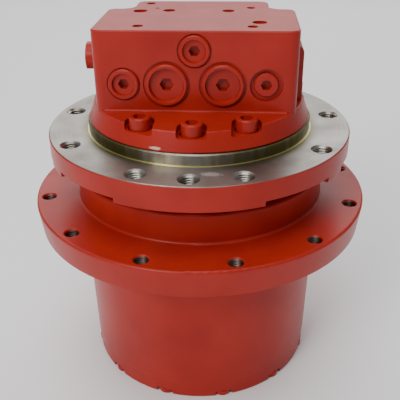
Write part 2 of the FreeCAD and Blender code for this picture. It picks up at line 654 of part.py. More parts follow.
def front_cavities():
    """Cutters for the front plugs and the valves behind them."""
    cuts = []
    for plug in PLUGS.values():
        floor = -BLOCK_FRONT + plug.face_depth
        for x, z in plug.places:
            cuts.append(along_y(plug.face_r, -BLOCK_FRONT - EASE, floor, x, z))
            cuts.append(along_y(plug.thread_r, floor, floor + PLUG_SHANK, x, z))
    for x, z in PLUGS["relief_plugs"].places:
        cuts.append(along_y(RELIEF_BORE_R, -BLOCK_FRONT, -RELIEF_FLOOR, x, z))
        cuts.append(along_y(RELIEF_SEAT_R, -RELIEF_FLOOR, -RELIEF_FLOOR + RELIEF_SEAT_R, x, z))
    x, z = PLUGS["cup_plugs"].places[0]
    cuts.append(along_y(TWO_SPEED_R, -BLOCK_FRONT, TWO_SPEED_FLOOR, x, z))
    return cuts


def rear_ports():
    """Cutters for the hose ports in the rear face: two main ports and two drain ports."""
    cuts = []
    for side in (-1, 1):
        for x, z, thread, face, depth in (
            (PORT_X, PORT_Z, PORT_THREAD_R, PORT_THREAD_R + PORT_FACE_ROOM, PORT_DEPTH),
            (DRAIN_X, DRAIN_Z, DRAIN_THREAD_R, DRAIN_THREAD_R + DRAIN_FACE_ROOM, DRAIN_DEPTH),
        ):
            cuts.append(along_y(face, BLOCK_REAR - EASE, BLOCK_REAR + EASE, side * x, z))
            cuts.append(along_y(thread, BLOCK_REAR - EASE - depth, BLOCK_REAR, side * x, z))
    return cuts


def right_cheek():
    """The cheek on the block's right side, with the wall behind the side screw's pocket."""
    low = PORT_FACE_Z + FOOT_H / 2
    size = (CHEEK_END, CHEEK_FRONT + SCREW_POCKET_R + CHEEK_WALL, CHEEK_TOP - low)
    cheek = Part.makeBox(*size, Vector(0, -CHEEK_FRONT, low))
    outer_top = [e for e in cheek.Edges if all(v.Point.x > 1 and v.Point.z > CHEEK_TOP - 1 for v in e.Vertexes)]
    return cheek.makeFillet(CHEEK_ROUND, outer_top)


def front_fillet():
    """The concave fillet along the foot of the block's front face."""
    half = BLOCK_W / 2 - BLOCK_CORNER
    foot_top = PORT_FACE_Z + FOOT_H
    corner = Part.makeBox(2 * half, FRONT_FILLET + EASE, FRONT_FILLET + EASE,
                          Vector(-half, -BLOCK_FRONT - FRONT_FILLET, foot_top - EASE))
    return corner.cut(along_x(FRONT_FILLET, -half, half, -BLOCK_FRONT - FRONT_FILLET, foot_top + FRONT_FILLET))


def valve_block():
    """The cast block that carries the valves and the ports, on its round foot."""
    foot_top = PORT_FACE_Z + FOOT_H
    foot = turned([(0.0, PORT_FACE_Z), (FOOT_R, PORT_FACE_Z, EASE), (FOOT_TOP_R, foot_top, FOOT_ROUND),
                   (0.0, foot_top)])
    boss = along_x(SPOOL_BOSS_R, -SPOOL_BOSS_END, 0, SPOOL_Y, SPOOL_Z - SPOOL_BOSS_DROP)
    block = block_body().fuse([foot, boss, right_cheek(), front_fillet()])
    cuts = screw_pockets() + front_cavities() + rear_ports()
    cuts.append(along_x(SPOOL_R, -SPOOL_BOSS_END, CHEEK_END, SPOOL_Y, SPOOL_Z))
    for x, y, diameter, depth in TOP_HOLES:
        cuts.append(cylinder(diameter / 2, BLOCK_TOP - depth, BLOCK_TOP, Vector(x, y, 0)))
    cuts.append(cylinder(SHAFT_R + 2 * (NEEDLE_R + RUN) + CUP_T, PORT_FACE_Z, CUP_TOP + LABYRINTH))
    for spring in brake_spring_places():
        cuts.append(cylinder(BRAKE_SPRING_R + GAP, PORT_FACE_Z, brake_piston_top() + BRAKE_SPRING_L, spring))
    save("valve_block", block.cut(cuts))


def block_screws():
    """The cap screws that hold the valve block down on the case."""
    save("block_screws", [
        socket_screw(spot(SCREW_R, a), screw_seat(a), SCREW_LENGTH, M12_R, M12_HEAD_R, M12_HEAD_H, M12_HEX)
        for a in SCREW_ANGLES
    ])


def front_plugs():
    """The screwed plugs in the front face, each with a hexagon socket."""
    inwards = Vector(0, 1, 0)
    for name, plug in PLUGS.items():
        floor = -BLOCK_FRONT + plug.face_depth
        solids = []
        for x, z in plug.places:
            front = Vector(x, floor - plug.proud, z)
            head = along_y(plug.head_r, front.y + EASE, floor, x, z)
            crown = Part.makeCone(plug.head_r - EASE, plug.head_r, EASE, front, inwards)
            shank = along_y(plug.thread_r, floor, floor + PLUG_SHANK, x, z)
            solid = head.fuse([crown, shank]).removeSplitter()
            if plug.cup_r:
                cup_floor_r = plug.cup_r - EASE
                solid = solid.cut(Part.makeCone(plug.cup_r, cup_floor_r, plug.cup_depth, front, inwards))
            solids.append(solid.cut(hex_prism(plug.flats, HEX_DEPTH + plug.cup_depth, front, inwards)))
        save(name, solids)


# ---------------------------------------------------------------- valves in the block
def counterbalance_valve():
    """The counterbalance spool across the block and its two end caps; returns its two springs."""
    cap_in = CHEEK_END - PLUG_SHANK
    spring_l = PLUG_SHANK
    land_end = cap_in - spring_l - SPOOL_TRAVEL - GAP
    land_r = SPOOL_R - RUN
    neck_r = SPOOL_R / 2
    stem_r = SPOOL_R - SPRING_WIRE - EASE * 2
    spool = along_x(neck_r, -land_end, land_end, SPOOL_Y, SPOOL_Z)
    lands = []
    pitch = 2 * land_end / SPOOL_LANDS
    for k in range(SPOOL_LANDS):
        middle = (k + 0.5) * pitch - land_end
        half = SPOOL_LAND_SHARE * pitch / 2
        lands.append(along_x(land_r, middle - half, middle + half, SPOOL_Y, SPOOL_Z))
    for side in (-1, 1):
        lands.append(along_x(stem_r, side * land_end, side * (land_end + spring_l), SPOOL_Y, SPOOL_Z))
    save("counterbalance_spool", spool.fuse(lands))
    springs, caps = [], []
    for side, end in ((-1, SPOOL_BOSS_END), (1, CHEEK_END)):
        outer = along_x(SPOOL_R - 2 * RUN, side * (cap_in - spring_l), side * cap_in, SPOOL_Y, SPOOL_Z)
        inner = along_x(stem_r + GAP, side * (cap_in - spring_l), side * cap_in, SPOOL_Y, SPOOL_Z)
        springs.append(outer.cut(inner))
        face = side * (end - EASE)
        cap = along_x(SPOOL_R, side * cap_in, face, SPOOL_Y, SPOOL_Z)
        socket = hex_prism(M10_HEX, HEX_DEPTH, Vector(face, SPOOL_Y, SPOOL_Z), Vector(-side, 0, 0))
        caps.append(cap.cut(socket))
    save("spool_caps", caps)
    return springs


def relief_valves():
    """The two crossover relief poppets behind the two large plugs; returns their springs."""
    springs = []
    plug = PLUGS["relief_plugs"]
    shank_end = -BLOCK_FRONT + plug.face_depth + PLUG_SHANK
    for side, (x, z) in zip(("left", "right"), plug.places):
        nose = Part.makeCone(RELIEF_SEAT_R - EASE, RELIEF_SEAT_R + EASE, 2 * EASE,
                             Vector(x, -RELIEF_FLOOR + EASE - RUN, z), Vector(0, -1, 0))
        poppet_end = -RELIEF_FLOOR - EASE - POPPET_L
        save("relief_poppet_" + side, along_y(POPPET_R, -RELIEF_FLOOR - EASE, poppet_end, x, z).fuse(nose))
        spring_end = poppet_end - POPPET_TRAVEL - GAP
        outer = along_y(POPPET_R - EASE, shank_end, spring_end, x, z)
        springs.append(outer.cut(along_y(POPPET_R - EASE - SPRING_WIRE, shank_end, spring_end, x, z)))
    return springs


def two_speed_valve():
    """The two-speed spool behind the left plug; returns its spring."""
    plug = PLUGS["cup_plugs"]
    x, z = plug.places[0]
    shank_end = -BLOCK_FRONT + plug.face_depth + PLUG_SHANK
    land_r = TWO_SPEED_R - RUN
    start = shank_end + GAP
    end = start + TWO_SPEED_L
    spool = along_y(land_r / 2, start, end, x, z)
    land = TWO_SPEED_L / 5
    lands = [along_y(land_r, start + k * 2 * land, start + (k * 2 + 1) * land, x, z) for k in range(3)]
    save("two_speed_spool", spool.fuse(lands))
    spring_start = end + TWO_SPEED_TRAVEL + GAP
    outer = along_y(land_r - RUN, spring_start, TWO_SPEED_FLOOR, x, z)
    return [outer.cut(along_y(land_r - SPRING_WIRE, spring_start, TWO_SPEED_FLOOR, x, z))]


# ---------------------------------------------------------------- motor
def motor_shaft():
    """The motor's shaft, with a splined socket for the sun gear's shaft in its lower end."""
    shaft = cylinder(SHAFT_R, SHAFT_LOW, CUP_TOP)
    socket = cylinder(SUN_SHAFT_R + RUN, SHAFT_LOW, CAVITY_LOW)
    save("motor_shaft", shaft.cut(socket))


def cylinder_block():
    """The rotating cylinder block with its bores and the keyways that turn the brake linings."""
    place = Vector(PISTON_PITCH_R, 0, 0)
    block = ring(SHAFT_R, CYLINDER_R, CYLINDER_LOW, CYLINDER_TOP)
    bore = cylinder(PISTON_R, CYLINDER_LOW, CYLINDER_TOP - 2 * VALVE_PLATE_T, place)
    port = cylinder(PISTON_R / 2, CYLINDER_LOW, CYLINDER_TOP, place)
    cuts = patterned(bore, PISTONS) + patterned(port, PISTONS)
    cuts += brake_slots(CYLINDER_R - KEY_DEPTH, CYLINDER_R + EASE, -BRAKE_DEPTH - EASE, CYLINDER_TOP)
    save("cylinder_block", block.cut(cuts))


def pistons():
    """The nine pistons, their slippers and the plate that holds the slippers to the swash plate."""
    place = Vector(PISTON_PITCH_R, 0, 0)
    piston_top = CYLINDER_TOP - 3 * VALVE_PLATE_T
    piston = cylinder(PISTON_R - RUN / 2, SLIPPER_TOP + PISTON_OUT / 2, piston_top, place)
    neck = cylinder(PISTON_R / 2, SLIPPER_TOP, SLIPPER_TOP + PISTON_OUT / 2, place)
    save("pistons", patterned(piston.fuse(neck), PISTONS))
    foot = cylinder(SLIPPER_R, SLIPPER_FOOT - SLIPPER_T, SLIPPER_FOOT, place)
    socket = cylinder(SLIPPER_NECK_R, SLIPPER_FOOT, SLIPPER_TOP, place)
    save("slippers", patterned(foot.fuse(socket).removeSplitter(), PISTONS))
    plate_low = SLIPPER_FOOT + RUN
    hole = cylinder(SLIPPER_NECK_R + GAP, plate_low, plate_low + RETAINER_T, place)
    plate = ring(SHAFT_R + SHAFT_RACE_T, CYLINDER_R - EASE, plate_low, plate_low + RETAINER_T)
    save("retainer_plate", plate.cut(patterned(hole, PISTONS)))
    guide_top = CYLINDER_LOW - GAP
    guide = turned([
        (SHAFT_R + RUN, plate_low + RETAINER_T), (SHAFT_R + SHAFT_RACE_T + EASE, plate_low + RETAINER_T),
        (SHAFT_R + SHAFT_RACE_T + EASE, plate_low + 2 * RETAINER_T), (SHAFT_R + EASE, guide_top),
        (SHAFT_R + RUN, guide_top),
    ])
    save("ball_guide", guide)


def servo_low():
    """The lower end of the servo piston, which pushes on the back of the swash plate."""
    return SWASH_LOW - RUN - SERVO_L


def swash_and_servo():
    """The swash plate on its two half-moon journals, and the two-speed servo piston behind it."""
    plate = ring(SWASH_BORE_R, SWASH_R, SWASH_LOW, SWASH_FACE)
    below = cylinder(2 * SWASH_R, SWASH_LOW - SWASH_R, SWASH_LOW)
    moons = []
    for side in (-1, 1):
        moon = along_x(SWASH_MOON_R, side * SWASH_MOON_IN, side * SWASH_MOON_OUT, 0, SWASH_FACE)
        moons.append(moon.common(below))
    save("swash_plate", plate.fuse(moons))
    save("servo_piston", cylinder(SERVO_R, servo_low(), SWASH_LOW - RUN, Vector(0, SERVO_Y, 0)))


def valve_plate():
    """The port plate between the block and the cylinders, with its two kidney ports."""
    low, high = PORT_FACE_Z - VALVE_PLATE_T, PORT_FACE_Z
    plate = ring(SHAFT_R + EASE, VALVE_PLATE_R, low, high)
    width = PISTON_R / 2
    kidneys = []
    for middle in (0.0, 180.0):
        sector = Part.makeCylinder(PISTON_PITCH_R + width, VALVE_PLATE_T, Vector(0, 0, low),
                                   Vector(0, 0, 1), KIDNEY_SWEEP)
        kidney = sector.cut(cylinder(PISTON_PITCH_R - width, low, high))
        kidneys.append(turned_about_z(kidney, middle - KIDNEY_SWEEP / 2))
    save("valve_plate", plate.cut(kidneys))


def shaft_bearings():
    """The needle cup in the block, the roller bearing in the case floor, and the shaft seal."""
    cup_in = SHAFT_R + 2 * (NEEDLE_R + RUN)
    cup = ring(cup_in, cup_in + CUP_T, CUP_TOP - NEEDLE_L, CUP_TOP)
    race_out = SHAFT_R + SHAFT_RACE_T
    low, high = CAVITY_LOW - ROLLER_L, CAVITY_LOW
    save("shaft_bearing_inner_ring", ring(SHAFT_R, race_out, low, high))
    outer = ring(SHAFT_OUTER_R - SHAFT_OUTER_RACE_T, SHAFT_OUTER_R, low, high)
    save("shaft_bearing_outer_rings", [cup, outer])
    needle = cylinder(NEEDLE_R - RUN / 2, CUP_TOP - NEEDLE_L + EASE, CUP_TOP - EASE,
                      Vector(SHAFT_R + NEEDLE_R + RUN, 0, 0))
    roller = cylinder(ROLLER_R - RUN / 2, low + EASE, high - EASE, Vector(race_out + ROLLER_R + RUN, 0, 0))
    save("shaft_bearing_rollers", patterned(needle, NEEDLES) + patterned(roller, NEEDLES))
    seal = turned([
        (SHAFT_R + RUN, SHAFT_SEAL_TOP), (SHAFT_R + SEAL_SECTION, SHAFT_SEAL_TOP),
        (SHAFT_R + SEAL_SECTION, SHAFT_SEAL_LOW), (SHAFT_R + SEAL_SECTION - EASE * 2, SHAFT_SEAL_LOW),
        (SHAFT_R + SEAL_SECTION - EASE * 2, SHAFT_SEAL_TOP - EASE * 2),
        (SHAFT_R + EASE * 2, SHAFT_SEAL_TOP - EASE * 2), (SHAFT_R + RUN, SHAFT_SEAL_TOP - EASE * 4),
    ])
    save("shaft_seal", seal)


# ---------------------------------------------------------------- parking brake
def brake_piston_low():
    """The level of the brake piston's pressing face when the brake is on."""
    pack = (BRAKE_LININGS + 1) * BRAKE_STEEL_T + BRAKE_LININGS * BRAKE_LINING_T
    return -BRAKE_DEPTH + pack + (2 * BRAKE_LININGS + 2) * BRAKE_CLEAR


def brake_piston_top():
    """The level of the brake piston's spring face when the brake is on."""
    return PORT_FACE_Z - BRAKE_TRAVEL - EASE


def brake_spring_places():
    """Where the brake springs stand, over the brake piston."""
    middle = (CYLINDER_R + KEY_DEPTH + BRAKE_CAVITY_R) / 2
    return [spot(middle, 360.0 * (k + 0.5) / BRAKE_SPRINGS) for k in range(BRAKE_SPRINGS)]


def parking_brake():
    """The spring-applied brake: steel plates keyed to the case, linings keyed to the cylinder block."""
    z = -BRAKE_DEPTH + BRAKE_CLEAR
    steels, linings = [], []
    key_fit = GAP / 2
    for k in range(2 * BRAKE_LININGS + 1):
        if k % 2:
            disc = ring(CYLINDER_R + GAP, BRAKE_CAVITY_R - KEY_DEPTH, z, z + BRAKE_LINING_T)
            bar = Part.makeBox(KEY_DEPTH + GAP * 2, KEY_W - 2 * key_fit, BRAKE_LINING_T,
                               Vector(CYLINDER_R - KEY_DEPTH + GAP, -KEY_W / 2 + key_fit, z))
            linings.append(disc.fuse(patterned(bar, BRAKE_KEYS)).removeSplitter())
            z += BRAKE_LINING_T + BRAKE_CLEAR
        else:
            disc = ring(CYLINDER_R + KEY_DEPTH, BRAKE_CAVITY_R - GAP, z, z + BRAKE_STEEL_T)
            bar = Part.makeBox(KEY_DEPTH + GAP, KEY_W - 2 * key_fit, BRAKE_STEEL_T,
                               Vector(BRAKE_CAVITY_R - 2 * GAP, -KEY_W / 2 + key_fit, z))
            steels.append(disc.fuse(patterned(bar, BRAKE_KEYS)).removeSplitter())
            z += BRAKE_STEEL_T + BRAKE_CLEAR
    save("brake_steel_plates", steels)
    save("brake_linings", linings)
    low, top = brake_piston_low(), brake_piston_top()
    save("brake_piston", ring(CYLINDER_R + KEY_DEPTH, BRAKE_CAVITY_R - RUN, low, top))
    springs = []
    for place in brake_spring_places():
        springs.append(ring(BRAKE_SPRING_R - SPRING_WIRE, BRAKE_SPRING_R, top, top + BRAKE_SPRING_L, place))
    save("brake_springs", springs)


# ---------------------------------------------------------------- main bearings and seals
def main_bearings():
    """Two roller bearings with their rings, the rollers of both rows and the nut below them."""
    inner, outer, rollers = [], [], []
    inner_out = JOURNAL_R + RACE_T
    outer_in = BEARING_R - RACE_T
    roller_r = (outer_in - inner_out) / 2 - RUN
    middle = (BEARING_1_LOW + BEARING_2_TOP) / 2
    for low in (BEARING_1_LOW, BEARING_2_LOW):
        inner.append(ring(JOURNAL_R, inner_out, min(low, middle), max(low + BEARING_W, middle)))
        outer.append(ring(outer_in, BEARING_R, low, low + BEARING_W))
        at = Vector((inner_out + outer_in) / 2, 0, 0)
        rollers += patterned(cylinder(roller_r, low + EASE, low + BEARING_W - EASE, at), BEARING_ROLLERS)
    save("main_bearing_inner_rings", inner)
    save("main_bearing_outer_rings", outer)
    save("main_bearing_rollers", rollers)
    nut = ring(JOURNAL_R, JOURNAL_R + NUT_SECTION, NUT_LOW, BEARING_2_LOW)
    corner = Vector(JOURNAL_R + NUT_SECTION - KEY_DEPTH, -KEY_W / 2, NUT_LOW)
    slot = Part.makeBox(KEY_W, KEY_W, NUT_T, corner)
    save("bearing_nut", nut.cut(patterned(slot, 4)))


def face_seal():
    """The metal face seal between case and hub: two lapped rings, each in its rubber ring."""
    def half(name, up):
        face = SEAL_FACE + up * RUN
        back = face + up * SEAL_RING_T
        foot = SEAL_FACE + up * (SEAL_POCKET - GAP)
        body = [
            (SEAL_RING_R, face), (SEAL_R - GAP * 5, face), (SEAL_R - GAP * 5, face + up * EASE * 2),
            (SEAL_RING_R + EASE * 4, back), (SEAL_RING_R + EASE * 4, foot), (SEAL_RING_R, foot),
        ]
        rubber = [
            (SEAL_RING_R + EASE * 4, back + up * EASE), (SEAL_R, back - up * EASE),
            (SEAL_R, foot - up * EASE), (SEAL_RING_R + EASE * 4, foot),
        ]
        save("face_seal_ring_" + name, turned(body))
        save("face_seal_rubber_" + name, turned(rubber))
    half("fixed", 1)
    half("turning", -1)


# ---------------------------------------------------------------- gear train
def carrier(outer_r, bore_r, top, slot_top, slot_low, low, centre_r, planet_tip_r, pin_r):
    """A one-piece planet carrier: two plates joined by webs between the planet windows."""
    window = cylinder(planet_tip_r + LABYRINTH, slot_low, slot_top, Vector(centre_r, 0, 0))
    pin_hole = cylinder(pin_r, low, top, Vector(centre_r, 0, 0))
    cuts = patterned(window, PLANETS) + patterned(pin_hole, PLANETS)
    cuts.append(cylinder(bore_r, low, slot_top))
    return cylinder(outer_r, low, top).cut(cuts)


def planet_pins(name, centre_r, pin_r, low, top):
    """The three planet pins of one stage, chamfered at both ends."""
    pin = cylinder(pin_r, low, top, Vector(centre_r, 0, 0))
    ends = [e for e in pin.Edges if isinstance(e.Curve, Part.Circle)]
    save(name, patterned(pin.makeChamfer(EASE, ends), PLANETS))


def planet_needles(name, centre_r, pin_r, low, top):
    """The loose needle rollers between each planet and its pin."""
    at = Vector(centre_r + pin_r + PLANET_NEEDLE_R + RUN, 0, 0)
    needle = cylinder(PLANET_NEEDLE_R - RUN / 2, low + EASE, top - EASE, at)
    needles = []
    for k in range(PLANET_NEEDLES):
        copy = needle.copy()
        copy.rotate(Vector(centre_r, 0, 0), Vector(0, 0, 1), 360.0 * k / PLANET_NEEDLES)
        needles.append(copy)
    save(name, [turned_about_z(n, 360.0 * turn / PLANETS) for turn in range(PLANETS) for n in needles])


def carrier_screw_places():
    """Where the nine screws hold the output carrier to the spindle, three beside each web."""
    places = []
    for k in range(PLANETS):
        for offset in (30.0, 60.0, 90.0):
            turn = math.radians(360.0 * k / PLANETS + offset)
            places.append(Vector(CARRIER_SCREW_R * math.cos(turn), CARRIER_SCREW_R * math.sin(turn), 0))
    return places


def output_stage():
    """The output stage: carrier fixed to the spindle, pins, three planets and sun gear 2."""
    tip = MODULE * (PLANET_2_TEETH / 2 + 1)
    sun_tip = MODULE * (SUN_2_TEETH / 2 + 1)
    body = carrier(CARRIER_R, sun_tip + LABYRINTH, SPINDLE_END, CARRIER_2_SLOT_TOP, CARRIER_2_SLOT_LOW,
                   CARRIER_2_LOW, CENTRE_2, tip, PIN_2_R)
    seat = CARRIER_2_SLOT_TOP + M10_HEAD_H
    cuts = [cylinder(SUN_SHAFT_R + CARRIER_GAP, CARRIER_2_SLOT_TOP, SPINDLE_END)]
    for place in carrier_screw_places():
        cuts.append(cylinder(M10_R + EASE / 2, seat, SPINDLE_END, place))
        cuts.append(cylinder(M10_HEAD_R + GAP, CARRIER_2_LOW, seat, place))
    save("output_carrier", body.cut(cuts))
    shank = CARRIER_SCREW_L - M10_HEAD_H + EASE
    save("output_carrier_screws", [
        socket_screw(place, seat, shank, M10_R, M10_HEAD_R, M10_HEAD_H, M10_HEX, -1)
        for place in carrier_screw_places()
    ])
    planet_pins("output_planet_pins", CENTRE_2, PIN_2_R, CARRIER_2_LOW, SPINDLE_END)
    bore_r = PIN_2_R + 2 * (PLANET_NEEDLE_R + RUN)
    planet_gears("output_planet", PLANET_2_TEETH, CENTRE_2, PLANET_2_LOW, PLANET_2_TOP, bore_r)
    planet_needles("output_planet_needles", CENTRE_2, PIN_2_R, PLANET_2_LOW, PLANET_2_TOP)
    teeth = external_gear(SUN_2_TEETH, CARRIER_1_TOP, PLANET_2_TOP)
    stem = cylinder(SUN_2_STEM_R, CARRIER_1_SLOT_TOP, CARRIER_1_TOP)
    sun = teeth.fuse(stem).cut(cylinder(SUN_2_BORE_R, CARRIER_1_SLOT_TOP, PLANET_2_TOP))
    save("sun_gear_2", sun)


def input_stage():
    """The input stage: floating carrier that drives sun gear 2, pins, planets and sun gear 1."""
    tip = MODULE * (PLANET_1_TEETH / 2 + 1)
    sun_tip = MODULE * (SUN_1_TEETH / 2 + 1)
    body = carrier(CARRIER_R, sun_tip + LABYRINTH, CARRIER_1_TOP, CARRIER_1_SLOT_TOP, CARRIER_1_SLOT_LOW,
                   CARRIER_1_LOW, CENTRE_1, tip, PIN_1_R)
    save("input_carrier", body.cut(cylinder(SUN_2_STEM_R, CARRIER_1_SLOT_TOP, CARRIER_1_TOP)))
    planet_pins("input_planet_pins", CENTRE_1, PIN_1_R, CARRIER_1_LOW, CARRIER_1_TOP)
    bore_r = PIN_1_R + 2 * (PLANET_NEEDLE_R + RUN)
    planet_gears("input_planet", PLANET_1_TEETH, CENTRE_1, PLANET_1_LOW, PLANET_1_TOP, bore_r)
    planet_needles("input_planet_needles", CENTRE_1, PIN_1_R, PLANET_1_LOW, PLANET_1_TOP)
    half_pitch = math.pi / SUN_1_TEETH
    teeth = external_gear(SUN_1_TEETH, PLANET_1_LOW, PLANET_1_TOP, half_pitch)
    shaft = cylinder(SUN_SHAFT_R, CARRIER_1_LOW, CAVITY_LOW - GAP)
    save("sun_gear_1", teeth.fuse(shaft))


# ---------------------------------------------------------------- hub and cover
def ring_key_places():
    """Where the round keys stand, half in the ring gear and half in the drum."""
    return [spot(RING_R, 360.0 * (k + 0.5) / RING_KEYS) for k in range(RING_KEYS)]


def ring_levels():
    """The lower and upper end of the ring gear."""
    return CARRIER_1_LOW, PLANET_2_TOP + CARRIER_GAP


def hub_drum():
    """The turning hub: neck, sprocket flange, bearing seats and the drum round the gears."""
    ring_low, ring_top = ring_levels()
    mid_r = RING_R - RING_SHOULDER
    hub = turned([
        (NECK_BORE_R, NECK_TOP), (NECK_R_TOP - EASE, NECK_TOP), (NECK_R_TOP, NECK_TOP - EASE),
        (NECK_R_LOW, SPROCKET_TOP, CAST_ROUND), (SPROCKET_R, SPROCKET_TOP, CAST_ROUND),
        (SPROCKET_R - SPROCKET_DRAFT, SPROCKET_LOW), (REGISTER_R, SPROCKET_LOW),
        (REGISTER_R, SPROCKET_LOW - REGISTER_H), (DRUM_R_TOP, SPROCKET_LOW - REGISTER_H),
        (DRUM_R_LOW, DRUM_LOW, EASE / 2), (RING_R, DRUM_LOW),
        (RING_R, ring_top), (mid_r, ring_top), (mid_r, BEARING_2_LOW), (BEARING_R, BEARING_2_LOW),
        (BEARING_R, BEARING_2_TOP), (BEARING_R - LAND_STEP, BEARING_2_TOP),
        (BEARING_R - LAND_STEP, BEARING_1_LOW), (BEARING_R, BEARING_1_LOW), (BEARING_R, SEAL_FLOOR),
        (SEAL_R, SEAL_FLOOR), (SEAL_R, GUARD_LOW - LABYRINTH), (NECK_BORE_R, GUARD_LOW - LABYRINTH),
    ])
    cuts = [
        chamfered_hole(SPROCKET_THREAD_R, SPROCKET_LOW, SPROCKET_TOP, spot(SPROCKET_BOLT_R, a), HOLE_CHAMFER)
        for a in [SPROCKET_BOLT_START + 360.0 * k / SPROCKET_BOLTS for k in range(SPROCKET_BOLTS)]
    ]
    cuts += [cylinder(M10_R, DRUM_LOW, DRUM_LOW + COVER_SCREW_L, at) for at in cover_screw_places()]
    cuts += [cylinder(RING_KEY_R, ring_low, ring_top, at) for at in ring_key_places()]
    save("hub_drum", hub.cut(cuts))


def ring_gear():
    """The internal gear that both stages share, and the round keys that hold it in the drum."""
    low, high = ring_levels()
    root_r = RING_PITCH_R + DEDENDUM * MODULE
    tip_r = RING_PITCH_R - RING_ADDENDUM * MODULE
    space = gear_prism(RING_TEETH, root_r, tip_r, -BACKLASH / 2, low, high)
    gear = cylinder(RING_R, low, high).cut(space)
    save("ring_gear", gear.cut([cylinder(RING_KEY_R, low, high, at) for at in ring_key_places()]))
    save("ring_gear_keys", [cylinder(RING_KEY_R, low, high, at) for at in ring_key_places()])


def cover_screw_places():
    """Where the cover screws stand."""
    start = SPROCKET_BOLT_START
    return [spot(COVER_BOLT_R, start + 360.0 * k / COVER_BOLTS) for k in range(COVER_BOLTS)]


def end_cover():
    """The end cover with its scalloped screw pockets, thrust pad, oil plugs and O-ring."""
    spigot_top = DRUM_LOW + COVER_SPIGOT
    spigot_r = RING_R - RUN
    rim_r = spigot_r - 2 * O_RING
    groove_low = DRUM_LOW + O_RING
    cover = turned([
        (0.0, COVER_LOW), (COVER_R, COVER_LOW, CAST_ROUND), (COVER_R, DRUM_LOW, EASE / 2),
        (spigot_r, DRUM_LOW), (spigot_r, groove_low), (spigot_r - O_RING, groove_low),
        (spigot_r - O_RING, groove_low + O_RING), (spigot_r, groove_low + O_RING), (spigot_r, spigot_top),
        (rim_r, spigot_top), (rim_r, COVER_INNER), (0.0, COVER_INNER),
    ])
    seat = COVER_LOW + SCALLOP_H
    cuts = []
    for at in cover_screw_places():
        cuts.append(cylinder(SCALLOP_R, COVER_LOW, seat, at))
        cuts.append(cylinder(M10_R + EASE / 2, seat, DRUM_LOW, at))
    oil_places = [spot(OIL_PLUG_PITCH, angle) for angle in (0.0, 180.0)]
    for at in oil_places:
        cuts.append(cylinder(OIL_PLUG_R, COVER_LOW, COVER_LOW + OIL_PLUG_L, at))
        cuts.append(cylinder(OIL_PLUG_R / 2, COVER_LOW + OIL_PLUG_L, COVER_INNER, at))
    save("end_cover", cover.cut(cuts))
    shank = COVER_SCREW_L + COVER_T - SCALLOP_H - EASE
    save("cover_screws", [
        socket_screw(at, seat, shank, M10_R, M10_HEAD_R, SCALLOP_H - RUN, M10_HEX, -1)
        for at in cover_screw_places()
    ])
    save("oil_plugs", [
        cylinder(OIL_PLUG_R, COVER_LOW + EASE, COVER_LOW + OIL_PLUG_L, at).cut(
            hex_prism(M12_HEX, HEX_DEPTH, Vector(at.x, at.y, COVER_LOW + EASE), Vector(0, 0, 1)))
        for at in oil_places
    ])
    save("cover_o_ring", ring(spigot_r - O_RING, spigot_r, groove_low, groove_low + O_RING))
    save("thrust_pad", cylinder(THRUST_PAD_R, COVER_INNER, CARRIER_1_LOW - GAP))


spindle_case()
valve_block()
block_screws()
front_plugs()
save("valve_springs", counterbalance_valve() + relief_valves() + two_speed_valve())
motor_shaft()
cylinder_block()
pistons()
swash_and_servo()
valve_plate()
shaft_bearings()
parking_brake()
main_bearings()
face_seal()
output_stage()
input_stage()
hub_drum()
ring_gear()
end_cover()
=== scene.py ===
"""The looks of an excavator final drive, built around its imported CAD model.

The drive stands on its end cover: frame flange and valve block above, turning hub below.
Metres, in the same frame as the CAD model: the origin is on the main axis at the frame face.
"""

import json
import logging
import math
from dataclasses import dataclass
from enum import Enum

import bpy
from mathutils import Matrix, Vector


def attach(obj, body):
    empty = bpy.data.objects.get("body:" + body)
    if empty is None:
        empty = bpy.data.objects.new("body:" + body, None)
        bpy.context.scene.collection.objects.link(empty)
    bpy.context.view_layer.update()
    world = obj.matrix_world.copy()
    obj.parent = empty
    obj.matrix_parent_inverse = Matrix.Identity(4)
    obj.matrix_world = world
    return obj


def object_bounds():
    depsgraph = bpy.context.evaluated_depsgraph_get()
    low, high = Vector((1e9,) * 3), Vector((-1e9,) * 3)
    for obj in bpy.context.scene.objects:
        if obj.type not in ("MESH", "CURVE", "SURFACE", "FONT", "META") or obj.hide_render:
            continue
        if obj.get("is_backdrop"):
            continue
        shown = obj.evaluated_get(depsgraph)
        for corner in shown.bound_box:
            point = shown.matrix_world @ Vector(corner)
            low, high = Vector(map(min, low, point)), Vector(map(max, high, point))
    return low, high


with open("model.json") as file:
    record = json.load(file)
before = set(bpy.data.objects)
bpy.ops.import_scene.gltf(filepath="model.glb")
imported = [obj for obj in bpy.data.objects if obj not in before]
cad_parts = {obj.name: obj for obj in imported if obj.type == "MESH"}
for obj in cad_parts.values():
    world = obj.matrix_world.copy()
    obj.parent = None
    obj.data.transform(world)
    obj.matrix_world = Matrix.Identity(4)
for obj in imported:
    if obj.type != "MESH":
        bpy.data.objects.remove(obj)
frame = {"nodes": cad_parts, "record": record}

LOG = logging.getLogger("final_drive")
MM = 0.001

# A Mix node's sockets share their names, so they are told apart by number.
SHARE = 0
VALUE_A = 2
VALUE_B = 3
VECTOR_A = 4
VECTOR_B = 5
COLOUR_A = 6
COLOUR_B = 7
VECTOR_OUT = 1
COLOUR_OUT = 2

# A noise texture's values mostly lie between these two.
NOISE_LOW = 0.35
NOISE_HIGH = 0.7


